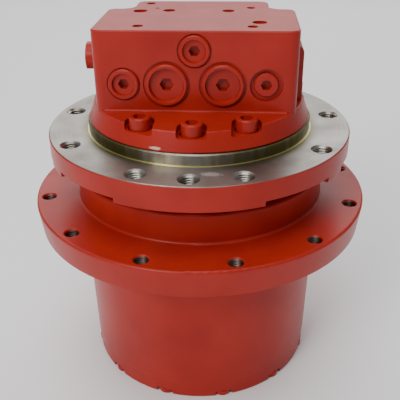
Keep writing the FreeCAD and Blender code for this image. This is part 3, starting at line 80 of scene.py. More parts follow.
# ---------------------------------------------------------------- helpers
def linear(code: str) -> tuple[float, float, float, float]:
    """Turn an sRGB hex colour into linear RGBA.

    Args:
        code: the colour as # and six hex digits.

    Returns:
        Linear red, green and blue, and an alpha of 1.
    """
    parts = [int(code[k:k + 2], 16) / 255 for k in (1, 3, 5)]
    bright = [p / 12.92 if p <= 0.04045 else ((p + 0.055) / 1.055) ** 2.4 for p in parts]
    return (bright[0], bright[1], bright[2], 1.0)


def add_node(tree: bpy.types.NodeTree, kind: str, inputs: list | dict | None = None,
             **settings: object) -> bpy.types.Node:
    """Add a node, set its properties, and fill or link its inputs.

    Args:
        tree: the tree that gets the node.
        kind: the node's type name.
        inputs: a list in the order of the node's inputs, or a dict by input name or number. Each is
            a value, an output socket, or a node, which stands for its first output.
        **settings: properties of the node itself.

    Returns:
        The new node.
    """
    made = tree.nodes.new(kind)
    for name, value in settings.items():
        setattr(made, name, value)
    filled = inputs if isinstance(inputs, dict) else dict(enumerate(inputs or []))
    for key, value in filled.items():
        source = value.outputs[0] if isinstance(value, bpy.types.Node) else value
        if isinstance(source, bpy.types.NodeSocket):
            tree.links.new(source, made.inputs[key])
        else:
            made.inputs[key].default_value = source
    return made


@dataclass
class Surface:
    """The sockets that describe one finish inside a material's tree."""

    colour: bpy.types.NodeSocket
    roughness: bpy.types.NodeSocket
    normal: bpy.types.NodeSocket


class Drawing:
    """A material under construction: its tree, its shader and the usual coordinates."""

    def __init__(self, name: str) -> None:
        """Start the material.

        Args:
            name: the material's name.
        """
        self.material = bpy.data.materials.new(name)
        self.material.use_nodes = True
        self.tree = self.material.node_tree
        self.shader = self.tree.nodes["Principled BSDF"]
        self.place = add_node(self.tree, "ShaderNodeTexCoord").outputs["Object"]
        split = add_node(self.tree, "ShaderNodeSeparateXYZ", [self.place])
        self.x, self.y, self.z = split.outputs
        self.flat = add_node(self.tree, "ShaderNodeCombineXYZ", [self.x, self.y])
        self.radius = add_node(self.tree, "ShaderNodeVectorMath", [self.flat],
                               operation="LENGTH").outputs["Value"]

    def finish(self, surface: Surface) -> bpy.types.Material:
        """Link a surface to the shader.

        Args:
            surface: the finished surface.

        Returns:
            The material.
        """
        self.tree.links.new(surface.colour, self.shader.inputs["Base Color"])
        self.tree.links.new(surface.roughness, self.shader.inputs["Roughness"])
        self.tree.links.new(surface.normal, self.shader.inputs["Normal"])
        return self.material


# ---------------------------------------------------------------- finishes
class Ground(Enum):
    """What lies under a coat of enamel, by how far its pattern is stretched along X, Y and Z."""

    PLAIN = (1.0, 1.0, 1.0)
    MILLED = (0.05, 1.0, 1.0)
    TURNED = (0.08, 0.08, 1.0)


@dataclass(frozen=True)
class Scuff:
    """A place where something has rubbed the surface: an oval with ragged edges."""

    place_mm: tuple[float, float, float]
    half_mm: tuple[float, float, float]
    colour: str
    fray_mm: float = 2.2        # size of the tears in its edge
    fray: float = 0.9           # how far the tears reach in, as a share of the oval
    fade_from: float = 1.45     # the scuff starts to show here, past the oval's edge
    fade_to: float = 1.05       # and shows in full from here inwards
    cover: float = 0.9          # how much of the coat it hides where it shows in full

    def share(self, drawing: Drawing) -> bpy.types.NodeSocket:
        """Work out how much of the scuff shows at each point.

        Args:
            drawing: the material that gets the scuff.

        Returns:
            A socket that is the cover inside the scuff and 0 outside it.
        """
        tree = drawing.tree
        centre = tuple(c * MM for c in self.place_mm)
        grow = tuple(1 / (h * MM) for h in self.half_mm)
        offset = add_node(tree, "ShaderNodeVectorMath", [drawing.place, centre], operation="SUBTRACT")
        scaled = add_node(tree, "ShaderNodeVectorMath", [offset, grow], operation="MULTIPLY")
        far = add_node(tree, "ShaderNodeVectorMath", [scaled], operation="LENGTH").outputs["Value"]
        ragged = add_node(tree, "ShaderNodeTexNoise",
                          {"Vector": drawing.place, "Scale": 1 / (self.fray_mm * MM)})
        edge = add_node(tree, "ShaderNodeMath", [ragged, self.fray, far], operation="MULTIPLY_ADD")
        return add_node(tree, "ShaderNodeMapRange",
                        {"Value": edge, "From Min": self.fade_from, "From Max": self.fade_to,
                         "To Max": self.cover}).outputs[0]


@dataclass(frozen=True)
class Enamel:
    """Semi-gloss alkyd enamel, sprayed over castings, turned steel and screws alike.

    To the eye it is one saturated red with a soft sheen, a fine orange peel, a slow mottle where
    the coat is thicker or thinner, and the grain of the casting or the cutter showing through.
    """

    name: str
    colour: str = "#A8281E"
    thick: str = "#9A2019"
    roughness: float = 0.33
    rough_swing: float = 0.14   # how far the roughness rises with the mottle
    rough_drop: float = 0.07    # and how far below the middle it starts
    ground: Ground = Ground.PLAIN
    grain_mm: float = 3.5
    grain: float = 0.1
    grain_depth_mm: float = 0.6
    peel_mm: float = 1.6
    peel: float = 0.2
    peel_depth_mm: float = 0.05
    mottle_mm: float = 45.0
    gloss: float = 0.22
    scuffs: tuple[Scuff, ...] = ()

    def lay(self, drawing: Drawing) -> Surface:
        """Add the coat's nodes.

        Args:
            drawing: the material that gets the coat.

        Returns:
            The coat's surface.
        """
        tree, place = drawing.tree, drawing.place
        mottle = add_node(tree, "ShaderNodeTexNoise",
                          {"Vector": place, "Scale": 1 / (self.mottle_mm * MM), "Detail": 4.0})
        share = add_node(tree, "ShaderNodeMapRange",
                         {"Value": mottle, "From Min": NOISE_LOW, "From Max": NOISE_HIGH})
        colour = add_node(
            tree, "ShaderNodeMix",
            {SHARE: share, COLOUR_A: linear(self.colour), COLOUR_B: linear(self.thick)},
            data_type="RGBA").outputs[COLOUR_OUT]
        for scuff in self.scuffs:
            colour = add_node(
                tree, "ShaderNodeMix",
                {SHARE: scuff.share(drawing), COLOUR_A: colour, COLOUR_B: linear(scuff.colour)},
                data_type="RGBA").outputs[COLOUR_OUT]
        rough = add_node(
            tree, "ShaderNodeMath",
            [mottle, self.rough_swing, self.roughness - self.rough_drop], operation="MULTIPLY_ADD")
        peel = add_node(tree, "ShaderNodeTexNoise",
                        {"Vector": place, "Scale": 1 / (self.peel_mm * MM), "Detail": 1.0})
        along = add_node(tree, "ShaderNodeVectorMath", [place, self.ground.value], operation="MULTIPLY")
        grain = add_node(tree, "ShaderNodeTexNoise",
                         {"Vector": along, "Scale": 1 / (self.grain_mm * MM), "Detail": 5.0,
                          "Roughness": 0.6})
        coat = add_node(tree, "ShaderNodeBump",
                        {"Height": peel, "Strength": self.peel, "Distance": self.peel_depth_mm * MM})
        under = add_node(tree, "ShaderNodeBump",
                         {"Height": grain, "Strength": self.grain,
                          "Distance": self.grain_depth_mm * MM, "Normal": coat})
        return Surface(colour, rough.outputs[0], under.outputs[0])

    def build(self) -> bpy.types.Material:
        """Make the enamel's material."""
        drawing = Drawing(self.name)
        drawing.shader.inputs["Specular IOR Level"].default_value = self.gloss
        return drawing.finish(self.lay(drawing))


@dataclass(frozen=True)
class FacedSteel:
    """Steel faced on a lathe and left bare under a wipe of yellow preservative oil.

    To the eye it is a mid grey with fine rings round the axis, so that its highlights fan out from
    the axis, duller patches, and an olive oil film that gathers on the spigot and at its foot. The
    olive is also painted shade: it darkens the spigot's sides and back and is left off its bright front.
    """

    colour: str = "#A29E98"
    dull: str = "#7D766E"
    # olive oil tint that also serves as painted shade on the spigot's sides and back
    oil_and_painted_shade: str = "#6B6234"
    bead: str = "#C9C08C"
    ring_mm: float = 0.9        # a real facing feed is 0.2 mm: drawn coarser so that it shows
    ring_share: float = 0.35    # how much the rings add to the dull patches
    ring_depth_mm: float = 0.02
    ring_relief: float = 0.3
    patch_mm: float = 34.0
    dull_from: float = 0.5
    dull_to: float = 0.9
    rough_swing: float = 0.2
    rough_least: float = 0.26
    spigot_r_mm: float = 99.4
    bead_mm: float = 1.3
    bead_top_mm: float = 0.6
    film_mm: float = 9.0
    film_edge_mm: float = 0.2
    film_cover: float = 0.95
    streak_mm: float = 6.0
    streak_stretch: tuple[float, float, float] = (1.0, 1.0, 0.12)   # streaks run down the spigot
    streak_noise: tuple[float, float] = (0.3, 0.7)
    streak_film: tuple[float, float] = (-0.3, 0.35)     # the olive oil tint and painted shade are thinned or thickened by this
    painted_shade_front_gap_mm: float = 62.0      # the olive painted shade is left off the spigot's front over this half width, so the front stays bright
    spread: float = 0.75        # how far highlights run across the lathe rings
    scuffs: tuple[Scuff, ...] = ()

    def lay(self, drawing: Drawing) -> Surface:
        """Add the steel's nodes.

        Args:
            drawing: the material that gets the steel.

        Returns:
            The steel's surface.
        """
        tree, place, radius = drawing.tree, drawing.place, drawing.radius
        patches = add_node(tree, "ShaderNodeTexNoise",
                           {"Vector": place, "Scale": 1 / (self.patch_mm * MM), "Detail": 6.0})
        ring_at = add_node(tree, "ShaderNodeMath", [radius, 1 / (self.ring_mm * MM)], operation="MULTIPLY")
        rings = add_node(tree, "ShaderNodeTexNoise", {"W": ring_at, "Scale": 1.0, "Detail": 2.0},
                         noise_dimensions="1D")
        both = add_node(tree, "ShaderNodeMath", [rings, self.ring_share, patches], operation="MULTIPLY_ADD")
        share = add_node(tree, "ShaderNodeMapRange",
                         {"Value": both, "From Min": self.dull_from, "From Max": self.dull_to})
        colour = add_node(
            tree, "ShaderNodeMix",
            {SHARE: share, COLOUR_A: linear(self.colour), COLOUR_B: linear(self.dull)},
            data_type="RGBA").outputs[COLOUR_OUT]
        for scuff in self.scuffs:
            colour = add_node(
                tree, "ShaderNodeMix",
                {SHARE: scuff.share(drawing), COLOUR_A: colour, COLOUR_B: linear(scuff.colour)},
                data_type="RGBA").outputs[COLOUR_OUT]
        upright = add_node(tree, "ShaderNodeVectorMath", [place, self.streak_stretch], operation="MULTIPLY")
        streaks = add_node(tree, "ShaderNodeTexNoise",
                           {"Vector": upright, "Scale": 1 / (self.streak_mm * MM), "Detail": 3.0})
        outwards = add_node(tree, "ShaderNodeMath", [radius, self.spigot_r_mm * MM], operation="SUBTRACT")
        near = add_node(tree, "ShaderNodeMapRange",
                        {"Value": outwards, "From Min": self.film_mm * MM,
                         "From Max": self.film_edge_mm * MM, "To Max": self.film_cover})
        # Painted shade: the olive darkens the spigot's sides and back, standing in for darker reflections,
        # and stays off the front.
        sideways = add_node(tree, "ShaderNodeMath", [drawing.x], operation="ABSOLUTE")
        painted_side_shade = add_node(tree, "ShaderNodeMapRange",
                         {"Value": sideways, "From Min": 0.0, "From Max": self.painted_shade_front_gap_mm * MM})
        behind = add_node(tree, "ShaderNodeMath", [drawing.y, 0.0], operation="GREATER_THAN")
        painted_shade_share = add_node(tree, "ShaderNodeMath", [painted_side_shade, behind], operation="MAXIMUM")
        streaked = add_node(tree, "ShaderNodeMapRange",
                            {"Value": streaks,
                             "From Min": self.streak_noise[0], "From Max": self.streak_noise[1],
                             "To Min": self.streak_film[0], "To Max": self.streak_film[1]})
        painted_shade_and_streaks = add_node(tree, "ShaderNodeMath", [painted_shade_share, streaked], operation="ADD", use_clamp=True)
        oil_and_painted_shade = add_node(tree, "ShaderNodeMath", [near, painted_shade_and_streaks], operation="MULTIPLY")
        oiled_and_shaded = add_node(
            tree, "ShaderNodeMix",
            {SHARE: oil_and_painted_shade, COLOUR_A: colour, COLOUR_B: linear(self.oil_and_painted_shade)},
            data_type="RGBA").outputs[COLOUR_OUT]
        foot = add_node(tree, "ShaderNodeMath", [outwards, self.bead_mm * MM], operation="LESS_THAN")
        level = add_node(tree, "ShaderNodeMath", [drawing.z, self.bead_top_mm * MM], operation="LESS_THAN")
        bead = add_node(tree, "ShaderNodeMath", [foot, level], operation="MULTIPLY")
        beaded = add_node(
            tree, "ShaderNodeMix",
            {SHARE: bead, COLOUR_A: oiled_and_shaded, COLOUR_B: linear(self.bead)},
            data_type="RGBA").outputs[COLOUR_OUT]
        rough = add_node(tree, "ShaderNodeMath", [patches, self.rough_swing, self.rough_least],
                         operation="MULTIPLY_ADD")
        bump = add_node(
            tree, "ShaderNodeBump",
            {"Height": rings, "Strength": self.ring_relief, "Distance": self.ring_depth_mm * MM})
        return Surface(beaded, rough.outputs[0], bump.outputs[0])


@dataclass(frozen=True)
class CaseFinish:
    """The fixed case: enamel outside, with the frame face, spigot and threads left bare.

    To the eye the paint stops at the edge of the machined face, and the hole rims are bare.
    """

    name: str
    enamel: Enamel
    steel: FacedSteel
    paint_top_mm: float = -0.35
    rim_low_mm: float = -1.2
    rim_r_mm: float = 131.0

    def build(self) -> bpy.types.Material:
        """Make the case's material, bare above the frame face and enamel below it."""
        drawing = Drawing(self.name)
        drawing.shader.inputs["Specular IOR Level"].default_value = self.enamel.gloss
        tree = drawing.tree
        paint, metal = self.enamel.lay(drawing), self.steel.lay(drawing)
        above = add_node(tree, "ShaderNodeMath", [drawing.z, self.paint_top_mm * MM],
                         operation="GREATER_THAN")
        rim = add_node(tree, "ShaderNodeMath", [drawing.z, self.rim_low_mm * MM], operation="GREATER_THAN")
        inside = add_node(tree, "ShaderNodeMath", [drawing.radius, self.rim_r_mm * MM],
                          operation="LESS_THAN")
        rims = add_node(tree, "ShaderNodeMath", [rim, inside], operation="MULTIPLY")
        outwards = add_node(tree, "ShaderNodeVectorMath", [drawing.flat], operation="NORMALIZE")
        across = add_node(tree, "ShaderNodeVectorMath", [outwards, (0.0, 0.0, 1.0)], operation="ADD")
        tree.links.new(across.outputs[0], drawing.shader.inputs["Tangent"])
        drawing.shader.inputs["Anisotropic"].default_value = self.steel.spread
        bare = add_node(tree, "ShaderNodeMath", [above, rims], operation="MAXIMUM")
        colour = add_node(
            tree, "ShaderNodeMix",
            {SHARE: bare, COLOUR_A: paint.colour, COLOUR_B: metal.colour},
            data_type="RGBA")
        rough = add_node(tree, "ShaderNodeMix",
                         {SHARE: bare, VALUE_A: paint.roughness, VALUE_B: metal.roughness})
        normal = add_node(tree, "ShaderNodeMix",
                          {SHARE: bare, VECTOR_A: paint.normal, VECTOR_B: metal.normal}, data_type="VECTOR")
        tree.links.new(bare.outputs[0], drawing.shader.inputs["Metallic"])
        return drawing.finish(
            Surface(colour.outputs[COLOUR_OUT], rough.outputs[0], normal.outputs[VECTOR_OUT]))


class Working(Enum):
    """How a machined piece was worked, by how far its marks are stretched along X, Y and Z."""

    TURNED = (0.04, 0.04, 1.0)
    GROUND = (1.0, 1.0, 0.5)
    HOBBED = (1.0, 1.0, 0.03)


@dataclass(frozen=True)
class OiledMetal:
    """A machined inner piece under a film of gear oil: darker and smoother than dry metal."""

    name: str
    colour: str
    dark: str
    roughness: float
    working: Working
    mark_mm: float = 0.8        # real marks are finer: drawn as coarse as they need to show
    mark: float = 0.25
    mark_depth_mm: float = 0.03
    stain_mm: float = 14.0
    rough_swing: float = 0.15   # how far the roughness rises with the stains
    rough_drop: float = 0.07    # and how far below the middle it starts

    def build(self) -> bpy.types.Material:
        """Make the metal's material with its working marks and oil stains."""
        drawing = Drawing(self.name)
        tree = drawing.tree
        along = add_node(tree, "ShaderNodeVectorMath", [drawing.place, self.working.value],
                         operation="MULTIPLY")
        marks = add_node(tree, "ShaderNodeTexNoise",
                         {"Vector": along, "Scale": 1 / (self.mark_mm * MM), "Detail": 3.0})
        stains = add_node(tree, "ShaderNodeTexNoise",
                          {"Vector": drawing.place, "Scale": 1 / (self.stain_mm * MM), "Detail": 4.0})
        share = add_node(tree, "ShaderNodeMapRange",
                         {"Value": stains, "From Min": NOISE_LOW, "From Max": NOISE_HIGH})
        colour = add_node(
            tree, "ShaderNodeMix",
            {SHARE: share, COLOUR_A: linear(self.colour), COLOUR_B: linear(self.dark)},
            data_type="RGBA")
        rough = add_node(
            tree, "ShaderNodeMath",
            [stains, self.rough_swing, self.roughness - self.rough_drop], operation="MULTIPLY_ADD")
        bump = add_node(tree, "ShaderNodeBump",
                        {"Height": marks, "Strength": self.mark, "Distance": self.mark_depth_mm * MM})
        drawing.shader.inputs["Metallic"].default_value = 1.0
        return drawing.finish(Surface(colour.outputs[COLOUR_OUT], rough.outputs[0], bump.outputs[0]))


@dataclass(frozen=True)
class Moulding:
    """A moulded or sintered non-metal: nitrile rubber, cast nylon or brake lining."""

    name: str
    colour: str
    speck: str
    roughness: float
    grain_mm: float
    speck_from: float = 0.45
    speck_to: float = 0.65
    rough_swing: float = 0.1    # how far the roughness rises with the grain
    rough_drop: float = 0.05    # and how far below the middle it starts
    relief: float = 0.3
    relief_mm: float = 0.08

    def build(self) -> bpy.types.Material:
        """Make the material with its fine grain."""
        drawing = Drawing(self.name)
        tree = drawing.tree
        grain = add_node(tree, "ShaderNodeTexNoise",
                         {"Vector": drawing.place, "Scale": 1 / (self.grain_mm * MM), "Detail": 4.0})
        share = add_node(tree, "ShaderNodeMapRange",
                         {"Value": grain, "From Min": self.speck_from, "From Max": self.speck_to})
        colour = add_node(
            tree, "ShaderNodeMix",
            {SHARE: share, COLOUR_A: linear(self.colour), COLOUR_B: linear(self.speck)},
            data_type="RGBA")
        rough = add_node(
            tree, "ShaderNodeMath",
            [grain, self.rough_swing, self.roughness - self.rough_drop], operation="MULTIPLY_ADD")
        bump = add_node(tree, "ShaderNodeBump",
                        {"Height": grain, "Strength": self.relief, "Distance": self.relief_mm * MM})
        return drawing.finish(Surface(colour.outputs[COLOUR_OUT], rough.outputs[0], bump.outputs[0]))


PAINT_CHIP = Scuff((-28.0, -93.5, 12.5), (6.5, 4.0, 1.3), "#D8B8AC")
FACE_SCUFF = Scuff((17.0, -112.0, 0.0), (9.0, 4.0, 2.0), "#D8D6D2")
SLOT_FINISHES = {
    "red_enamel": Enamel("red_enamel_on_casting"),
    "case_enamel": CaseFinish("case_enamel_and_bare_face", Enamel("case_coat"),
                              FacedSteel(scuffs=(FACE_SCUFF,))),
    "painted_steel": Enamel("red_enamel_on_steel", grain=0.03, roughness=0.3),
    "gear_steel": OiledMetal("hobbed_gear_steel", "#8C8C8A", "#6E6D6A", 0.3, Working.HOBBED),
    "ground_steel": OiledMetal("ground_bearing_steel", "#B9B9B7", "#A3A3A0", 0.16, Working.GROUND, 0.4),
    "plain_steel": OiledMetal("turned_plain_steel", "#84827E", "#66635E", 0.36, Working.TURNED),
    "spring_steel": OiledMetal("oil_tempered_wire", "#4A4A4C", "#38383A", 0.35, Working.GROUND),
    "bronze": OiledMetal("machined_bronze", "#B08A4E", "#8F6B36", 0.3, Working.TURNED),
    "rubber": Moulding("nitrile_rubber", "#1B1B1C", "#262626", 0.62, 1.2),
    "friction_lining": Moulding("sintered_lining", "#4A423A", "#6B5B42", 0.8, 0.7),
    "nylon": Moulding("cast_nylon", "#D8D2BE", "#CBC4AD", 0.45, 2.0),
}
NODE_FINISHES = {
    "valve_block": Enamel("red_enamel_on_milled_block", ground=Ground.MILLED, scuffs=(PAINT_CHIP,)),
    "hub_drum": Enamel("red_enamel_on_turned_hub", ground=Ground.TURNED, grain=0.06),
    "end_cover": Enamel("red_enamel_on_cover", grain=0.05),
}
BARE_THREAD = OiledMetal("tapped_bare_steel", "#B4B0A8", "#6F6A62", 0.32, Working.TURNED, 0.5)
STAINED_THREAD = OiledMetal("tapped_stained_iron", "#6A5852", "#3A2622", 0.42, Working.TURNED, 0.5)


# ---------------------------------------------------------------- threads
@dataclass
class Tapping:
    """The V threads in a set of equal tapped holes, from one Geometry Nodes tree."""

    name: str
    body: str
    slot: str
    places: list[Vector]
    finish: OiledMetal
    major_r_mm: float
    pitch_mm: float
    length_mm: float
    turn: tuple[float, float, float] = (0.0, 0.0, 0.0)
    segments: int = 28
    rows: int = 5               # points across one V: two flanks with a middle row each
    sharp_deg: float = 40.0
    clearance_mm: float = 0.02  # the thread's roots stand this far off the drilled wall
    height: float = 0.54        # depth of a metric thread as a share of its pitch

    def tree(self) -> bpy.types.GeometryNodeTree:
        """Build the tree: a grid rolled into a helical V thread, one on each point."""
        tree = bpy.data.node_groups.new(self.name + "_tree", "GeometryNodeTree")
        tree.interface.new_socket("Geometry", in_out="INPUT", socket_type="NodeSocketGeometry")
        for label in ("Major radius", "Pitch", "Length"):
            tree.interface.new_socket(label, in_out="INPUT", socket_type="NodeSocketFloat")
        tree.interface.new_socket("Rotation", in_out="INPUT", socket_type="NodeSocketVector")
        tree.interface.new_socket("Material", in_out="INPUT", socket_type="NodeSocketMaterial")
        tree.interface.new_socket("Geometry", in_out="OUTPUT", socket_type="NodeSocketGeometry")
        given = add_node(tree, "NodeGroupInput").outputs
        turns = add_node(tree, "ShaderNodeMath", [given["Length"], given["Pitch"]], operation="DIVIDE")
        steps = add_node(tree, "ShaderNodeMath", [turns, float(self.segments)], operation="MULTIPLY")
        count = add_node(tree, "FunctionNodeFloatToInt", [steps])
        grid = add_node(tree, "GeometryNodeMeshGrid",
                        {"Size X": 1.0, "Size Y": 1.0, "Vertices X": count, "Vertices Y": self.rows})
        spot = add_node(tree, "ShaderNodeSeparateXYZ",
                        [add_node(tree, "GeometryNodeInputPosition")]).outputs
        run = add_node(tree, "ShaderNodeMath", [spot[0], 0.5], operation="ADD")
        turned = add_node(tree, "ShaderNodeMath", [run, turns], operation="MULTIPLY")
        angle = add_node(tree, "ShaderNodeMath", [turned, math.tau], operation="MULTIPLY")
        off_crest = add_node(tree, "ShaderNodeMath", [spot[1]], operation="ABSOLUTE")
        crest = add_node(tree, "ShaderNodeMath", [off_crest, -2.0, 1.0], operation="MULTIPLY_ADD")
        depth = add_node(tree, "ShaderNodeMath", [given["Pitch"], -self.height], operation="MULTIPLY")
        radius = add_node(tree, "ShaderNodeMath", [crest, depth, given["Major radius"]],
                          operation="MULTIPLY_ADD")
        fall = add_node(tree, "ShaderNodeMath", [run, given["Length"]], operation="MULTIPLY")
        down = add_node(tree, "ShaderNodeMath", [fall, -1.0], operation="MULTIPLY")
        level = add_node(tree, "ShaderNodeMath", [spot[1], given["Pitch"], down], operation="MULTIPLY_ADD")
        cosine = add_node(tree, "ShaderNodeMath", [angle], operation="COSINE")
        sine = add_node(tree, "ShaderNodeMath", [angle], operation="SINE")
        x = add_node(tree, "ShaderNodeMath", [radius, cosine], operation="MULTIPLY")
        y = add_node(tree, "ShaderNodeMath", [radius, sine], operation="MULTIPLY")
        position = add_node(tree, "ShaderNodeCombineXYZ", [x, y, level])
        rolled = add_node(tree, "GeometryNodeSetPosition", {"Geometry": grid, "Position": position})
        placed = add_node(tree, "GeometryNodeInstanceOnPoints",
                          {"Points": given["Geometry"], "Instance": rolled, "Rotation": given["Rotation"]})
        real = add_node(tree, "GeometryNodeRealizeInstances", [placed])
        coloured = add_node(tree, "GeometryNodeSetMaterial",
                            {"Geometry": real, "Material": given["Material"]})
        add_node(tree, "NodeGroupOutput", [coloured])
        return tree

    def build(self) -> None:
        """Run the tree on the hole places and keep the result as a plain mesh on its body."""
        points = bpy.data.meshes.new(self.name + "_points")
        points.from_pydata([place[:] for place in self.places], [], [])
        holder = bpy.data.objects.new(self.name + "_points", points)
        bpy.context.scene.collection.objects.link(holder)
        modifier = holder.modifiers.new("threads", "NODES")
        modifier.node_group = self.tree()
        values = {
            "Major radius": (self.major_r_mm - self.clearance_mm) * MM,
            "Pitch": self.pitch_mm * MM,
            "Length": self.length_mm * MM,
            "Rotation": self.turn,
            "Material": self.finish.build(),
        }
        for item in modifier.node_group.interface.items_tree:
            if item.in_out == "INPUT" and item.name in values:
                modifier[item.identifier] = values[item.name]
        ready = holder.evaluated_get(bpy.context.evaluated_depsgraph_get())
        mesh = bpy.data.meshes.new_from_object(ready)
        bpy.data.objects.remove(holder)
        mesh.name = self.name
        mesh.shade_smooth()
        mesh.set_sharp_from_angle(angle=math.radians(self.sharp_deg))
        threads = bpy.data.objects.new(self.name, mesh)
        bpy.context.scene.collection.objects.link(threads)
        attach(threads, self.body)
        LOG.info("%s: %d holes, %d faces", self.name, len(self.places), len(mesh.polygons))


def around(radius_mm: float, degrees: list[float], z_mm: float) -> list[Vector]:
    """Points on a circle about the main axis.

    Args:
        radius_mm: the circle's radius.
        degrees: each point's angle from the front towards +X.
        z_mm: the points' level.

    Returns:
        The points in metres.
    """
    turns = [math.radians(angle) for angle in degrees]
    return [Vector((radius_mm * math.sin(t), -radius_mm * math.cos(t), z_mm)) * MM for t in turns]


# ---------------------------------------------------------------- sub-assemblies
@dataclass
class Dressing:
    """Gives every CAD node its finish."""

    def build(self) -> None:
        """Build each finish once and put it on its nodes."""
        by_slot = {slot: finish.build() for slot, finish in SLOT_FINISHES.items()}
        by_node = {node: finish.build() for node, finish in NODE_FINISHES.items()}
        slots = {part["node"]: part["material_slot"] for part in frame["record"]["subparts"]}
        for name, node in frame["nodes"].items():
            node.data.materials.clear()
            node.data.materials.append(by_node.get(name) or by_slot[slots[name]])
            LOG.info("dressed %s", name)


@dataclass
class FrameFlange:
    """The fixed case's frame flange: its ten tapped holes."""

    bolt_r_mm: float = 121.0
    thread_r_mm: float = 8.0
    pitch_mm: float = 2.0
    thickness_mm: float = 21.6
    chamfer_mm: float = 1.0
    lead_in: float = 1.5        # chamfers from the face to the thread's middle start
    clear: float = 4.0          # chamfers left without thread in the whole depth
    side_deg: tuple[float, ...] = (20.0, 60.0, 100.0, 140.0)

    def build(self) -> None:
        """Cut the M16 threads."""
        sides = [side * angle for angle in self.side_deg for side in (-1, 1)]
        places = around(self.bolt_r_mm, [0.0, *sides, 180.0], -self.lead_in * self.chamfer_mm)
        Tapping("frame_threads", "case", "case_enamel", places, BARE_THREAD, self.thread_r_mm,
                self.pitch_mm, self.thickness_mm - self.clear * self.chamfer_mm).build()


@dataclass
class SprocketFlange:
    """The turning hub's sprocket flange: its twelve tapped holes."""

    bolt_r_mm: float = 141.6
    thread_r_mm: float = 6.0
    pitch_mm: float = 1.75
    top_mm: float = -62.2
    thickness_mm: float = 24.6
    chamfer_mm: float = 1.0
    lead_in: float = 1.5        # chamfers from the face to the thread's middle start
    clear: float = 4.0          # chamfers left without thread in the whole depth
    holes: int = 12
    first_deg: float = 15.0

    def build(self) -> None:
        """Cut the M12 threads."""
        angles = [self.first_deg + 360.0 / self.holes * k for k in range(self.holes)]
        places = around(self.bolt_r_mm, angles, self.top_mm - self.lead_in * self.chamfer_mm)
        Tapping("sprocket_threads", "hub", "red_enamel", places, STAINED_THREAD, self.thread_r_mm,
                self.pitch_mm, self.thickness_mm - self.clear * self.chamfer_mm).build()


@dataclass
class HosePorts:
    """The ports in the valve block's rear face."""

    rear_mm: float = 72.0
    inset_mm: float = 1.0
    main_x_mm: float = 24.0
    main_z_mm: float = 62.0
    main_r_mm: float = 10.5
    main_pitch_mm: float = 1.814
    main_length_mm: float = 15.0
    drain_x_mm: float = 48.0
    drain_z_mm: float = 40.0
    drain_r_mm: float = 6.6
    drain_pitch_mm: float = 1.337
    drain_length_mm: float = 10.5
    backwards: tuple[float, float, float] = (-math.pi / 2, 0.0, 0.0)

    def build(self) -> None:
        """Cut the G 1/2 threads of the main ports and the G 1/4 threads of the drain ports."""
        level = self.rear_mm - self.inset_mm
        main = [Vector((x, level, self.main_z_mm)) * MM for x in (-self.main_x_mm, self.main_x_mm)]
        drain = [Vector((x, level, self.drain_z_mm)) * MM for x in (-self.drain_x_mm, self.drain_x_mm)]
        Tapping("main_port_threads", "case", "red_enamel", main, BARE_THREAD, self.main_r_mm,
                self.main_pitch_mm, self.main_length_mm, self.backwards).build()
        Tapping("drain_port_threads", "case", "red_enamel", drain, BARE_THREAD, self.drain_r_mm,
                self.drain_pitch_mm, self.drain_length_mm, self.backwards).build()


# ---------------------------------------------------------------- studio
@dataclass
class Softbox:
    """One soft rectangular light."""

    name: str
    place: tuple[float, float, float]
    target: tuple[float, float, float]
    size: tuple[float, float]
    radiance: float

    def build(self) -> None:
        """Hang the light, facing its target."""
        lamp = bpy.data.lights.new(self.name, "AREA")
        lamp.shape, lamp.size, lamp.size_y = "RECTANGLE", self.size[0], self.size[1]
        lamp.energy = self.radiance * math.pi * self.size[0] * self.size[1]
        holder = bpy.data.objects.new(self.name, lamp)
        holder.location = self.place
        holder.rotation_mode = "QUATERNION"
        holder.rotation_quaternion = (Vector(self.target) - Vector(self.place)).to_track_quat("-Z", "Y")
        bpy.context.scene.collection.objects.link(holder)


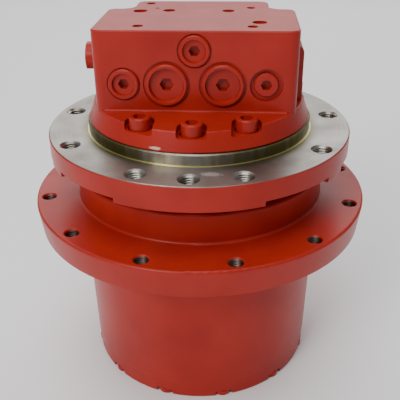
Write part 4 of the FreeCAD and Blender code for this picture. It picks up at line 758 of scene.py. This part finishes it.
@dataclass
class Studio:
    """Plain pale floor, soft studio light and the camera."""

    eye: tuple[float, float, float] = (0.0376, -0.5379, 0.2057)
    ahead: tuple[float, float, float] = (-0.0615, 0.8800, -0.4710)
    roll_deg: float = -0.582
    lens_mm: float = 56.27
    sensor_mm: float = 36.0
    floor_half: float = 6.0
    floor_roughness: float = 0.9
    cloud_scale: float = 2.0
    floor_hex: str = "#F2F2F2"
    cloud_hex: str = "#F7F7F7"
    sky: float = 0.3
    lights: tuple[Softbox, ...] = (
        Softbox("back_panel", (0.0, 1.9, 1.6), (0.0, 0.0, 0.0), (4.0, 2.2), 2.2),
        Softbox("overhead", (-0.2, -0.5, 1.8), (0.0, 0.0, -0.05), (1.4, 1.2), 3.2),
        Softbox("key", (-0.9, -1.5, 1.2), (0.0, 0.0, -0.05), (0.8, 0.8), 12.0),
    )

    def floor(self) -> None:
        """Lay the floor under the end cover."""
        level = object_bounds()[0][2]
        half = self.floor_half
        corners = [(-half, -half, level), (half, -half, level), (half, half, level), (-half, half, level)]
        mesh = bpy.data.meshes.new("floor")
        mesh.from_pydata(corners, [], [(0, 1, 2, 3)])
        ground = bpy.data.objects.new("floor", mesh)
        bpy.context.scene.collection.objects.link(ground)
        drawing = Drawing("pale_matt_floor")
        cloud = add_node(drawing.tree, "ShaderNodeTexNoise",
                         {"Vector": drawing.place, "Scale": self.cloud_scale})
        tone = add_node(
            drawing.tree, "ShaderNodeMix",
            {SHARE: cloud, COLOUR_A: linear(self.floor_hex), COLOUR_B: linear(self.cloud_hex)},
            data_type="RGBA").outputs[COLOUR_OUT]
        drawing.tree.links.new(tone, drawing.shader.inputs["Base Color"])
        drawing.shader.inputs["Roughness"].default_value = self.floor_roughness
        ground.data.materials.append(drawing.material)
        ground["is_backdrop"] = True

    def camera(self) -> None:
        """Set the camera."""
        data = bpy.data.cameras.new("camera")
        data.lens, data.sensor_width = self.lens_mm, self.sensor_mm
        camera = bpy.data.objects.new("camera", data)
        ahead = Vector(self.ahead).normalized()
        level = ahead.cross(Vector((0.0, 0.0, 1.0))).normalized()
        over = level.cross(ahead)
        roll = math.radians(self.roll_deg)
        right = level * math.cos(roll) + over * math.sin(roll)
        turned = Matrix((right, right.cross(ahead), -ahead)).transposed()
        camera.matrix_world = Matrix.Translation(Vector(self.eye)) @ turned.to_4x4()
        bpy.context.scene.collection.objects.link(camera)
        bpy.context.scene.camera = camera

    def build(self) -> None:
        """Set up the floor, lights, surroundings and camera."""
        self.floor()
        for light in self.lights:
            light.build()
        world = bpy.data.worlds.new("studio")
        bpy.context.scene.world = world
        world.use_nodes = True
        back = world.node_tree.nodes["Background"]
        back.inputs["Color"].default_value = (1.0, 1.0, 1.0, 1.0)
        back.inputs["Strength"].default_value = self.sky
        self.camera()
        LOG.info("studio: %d lights", len(self.lights))


def main() -> None:
    """Build every sub-assembly's looks, then the studio."""
    logging.basicConfig(level=logging.INFO)
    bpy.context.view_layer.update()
    Dressing().build()
    FrameFlange().build()
    SprocketFlange().build()
    HosePorts().build()
    Studio().build()
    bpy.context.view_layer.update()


if __name__ == "__main__":
    main()
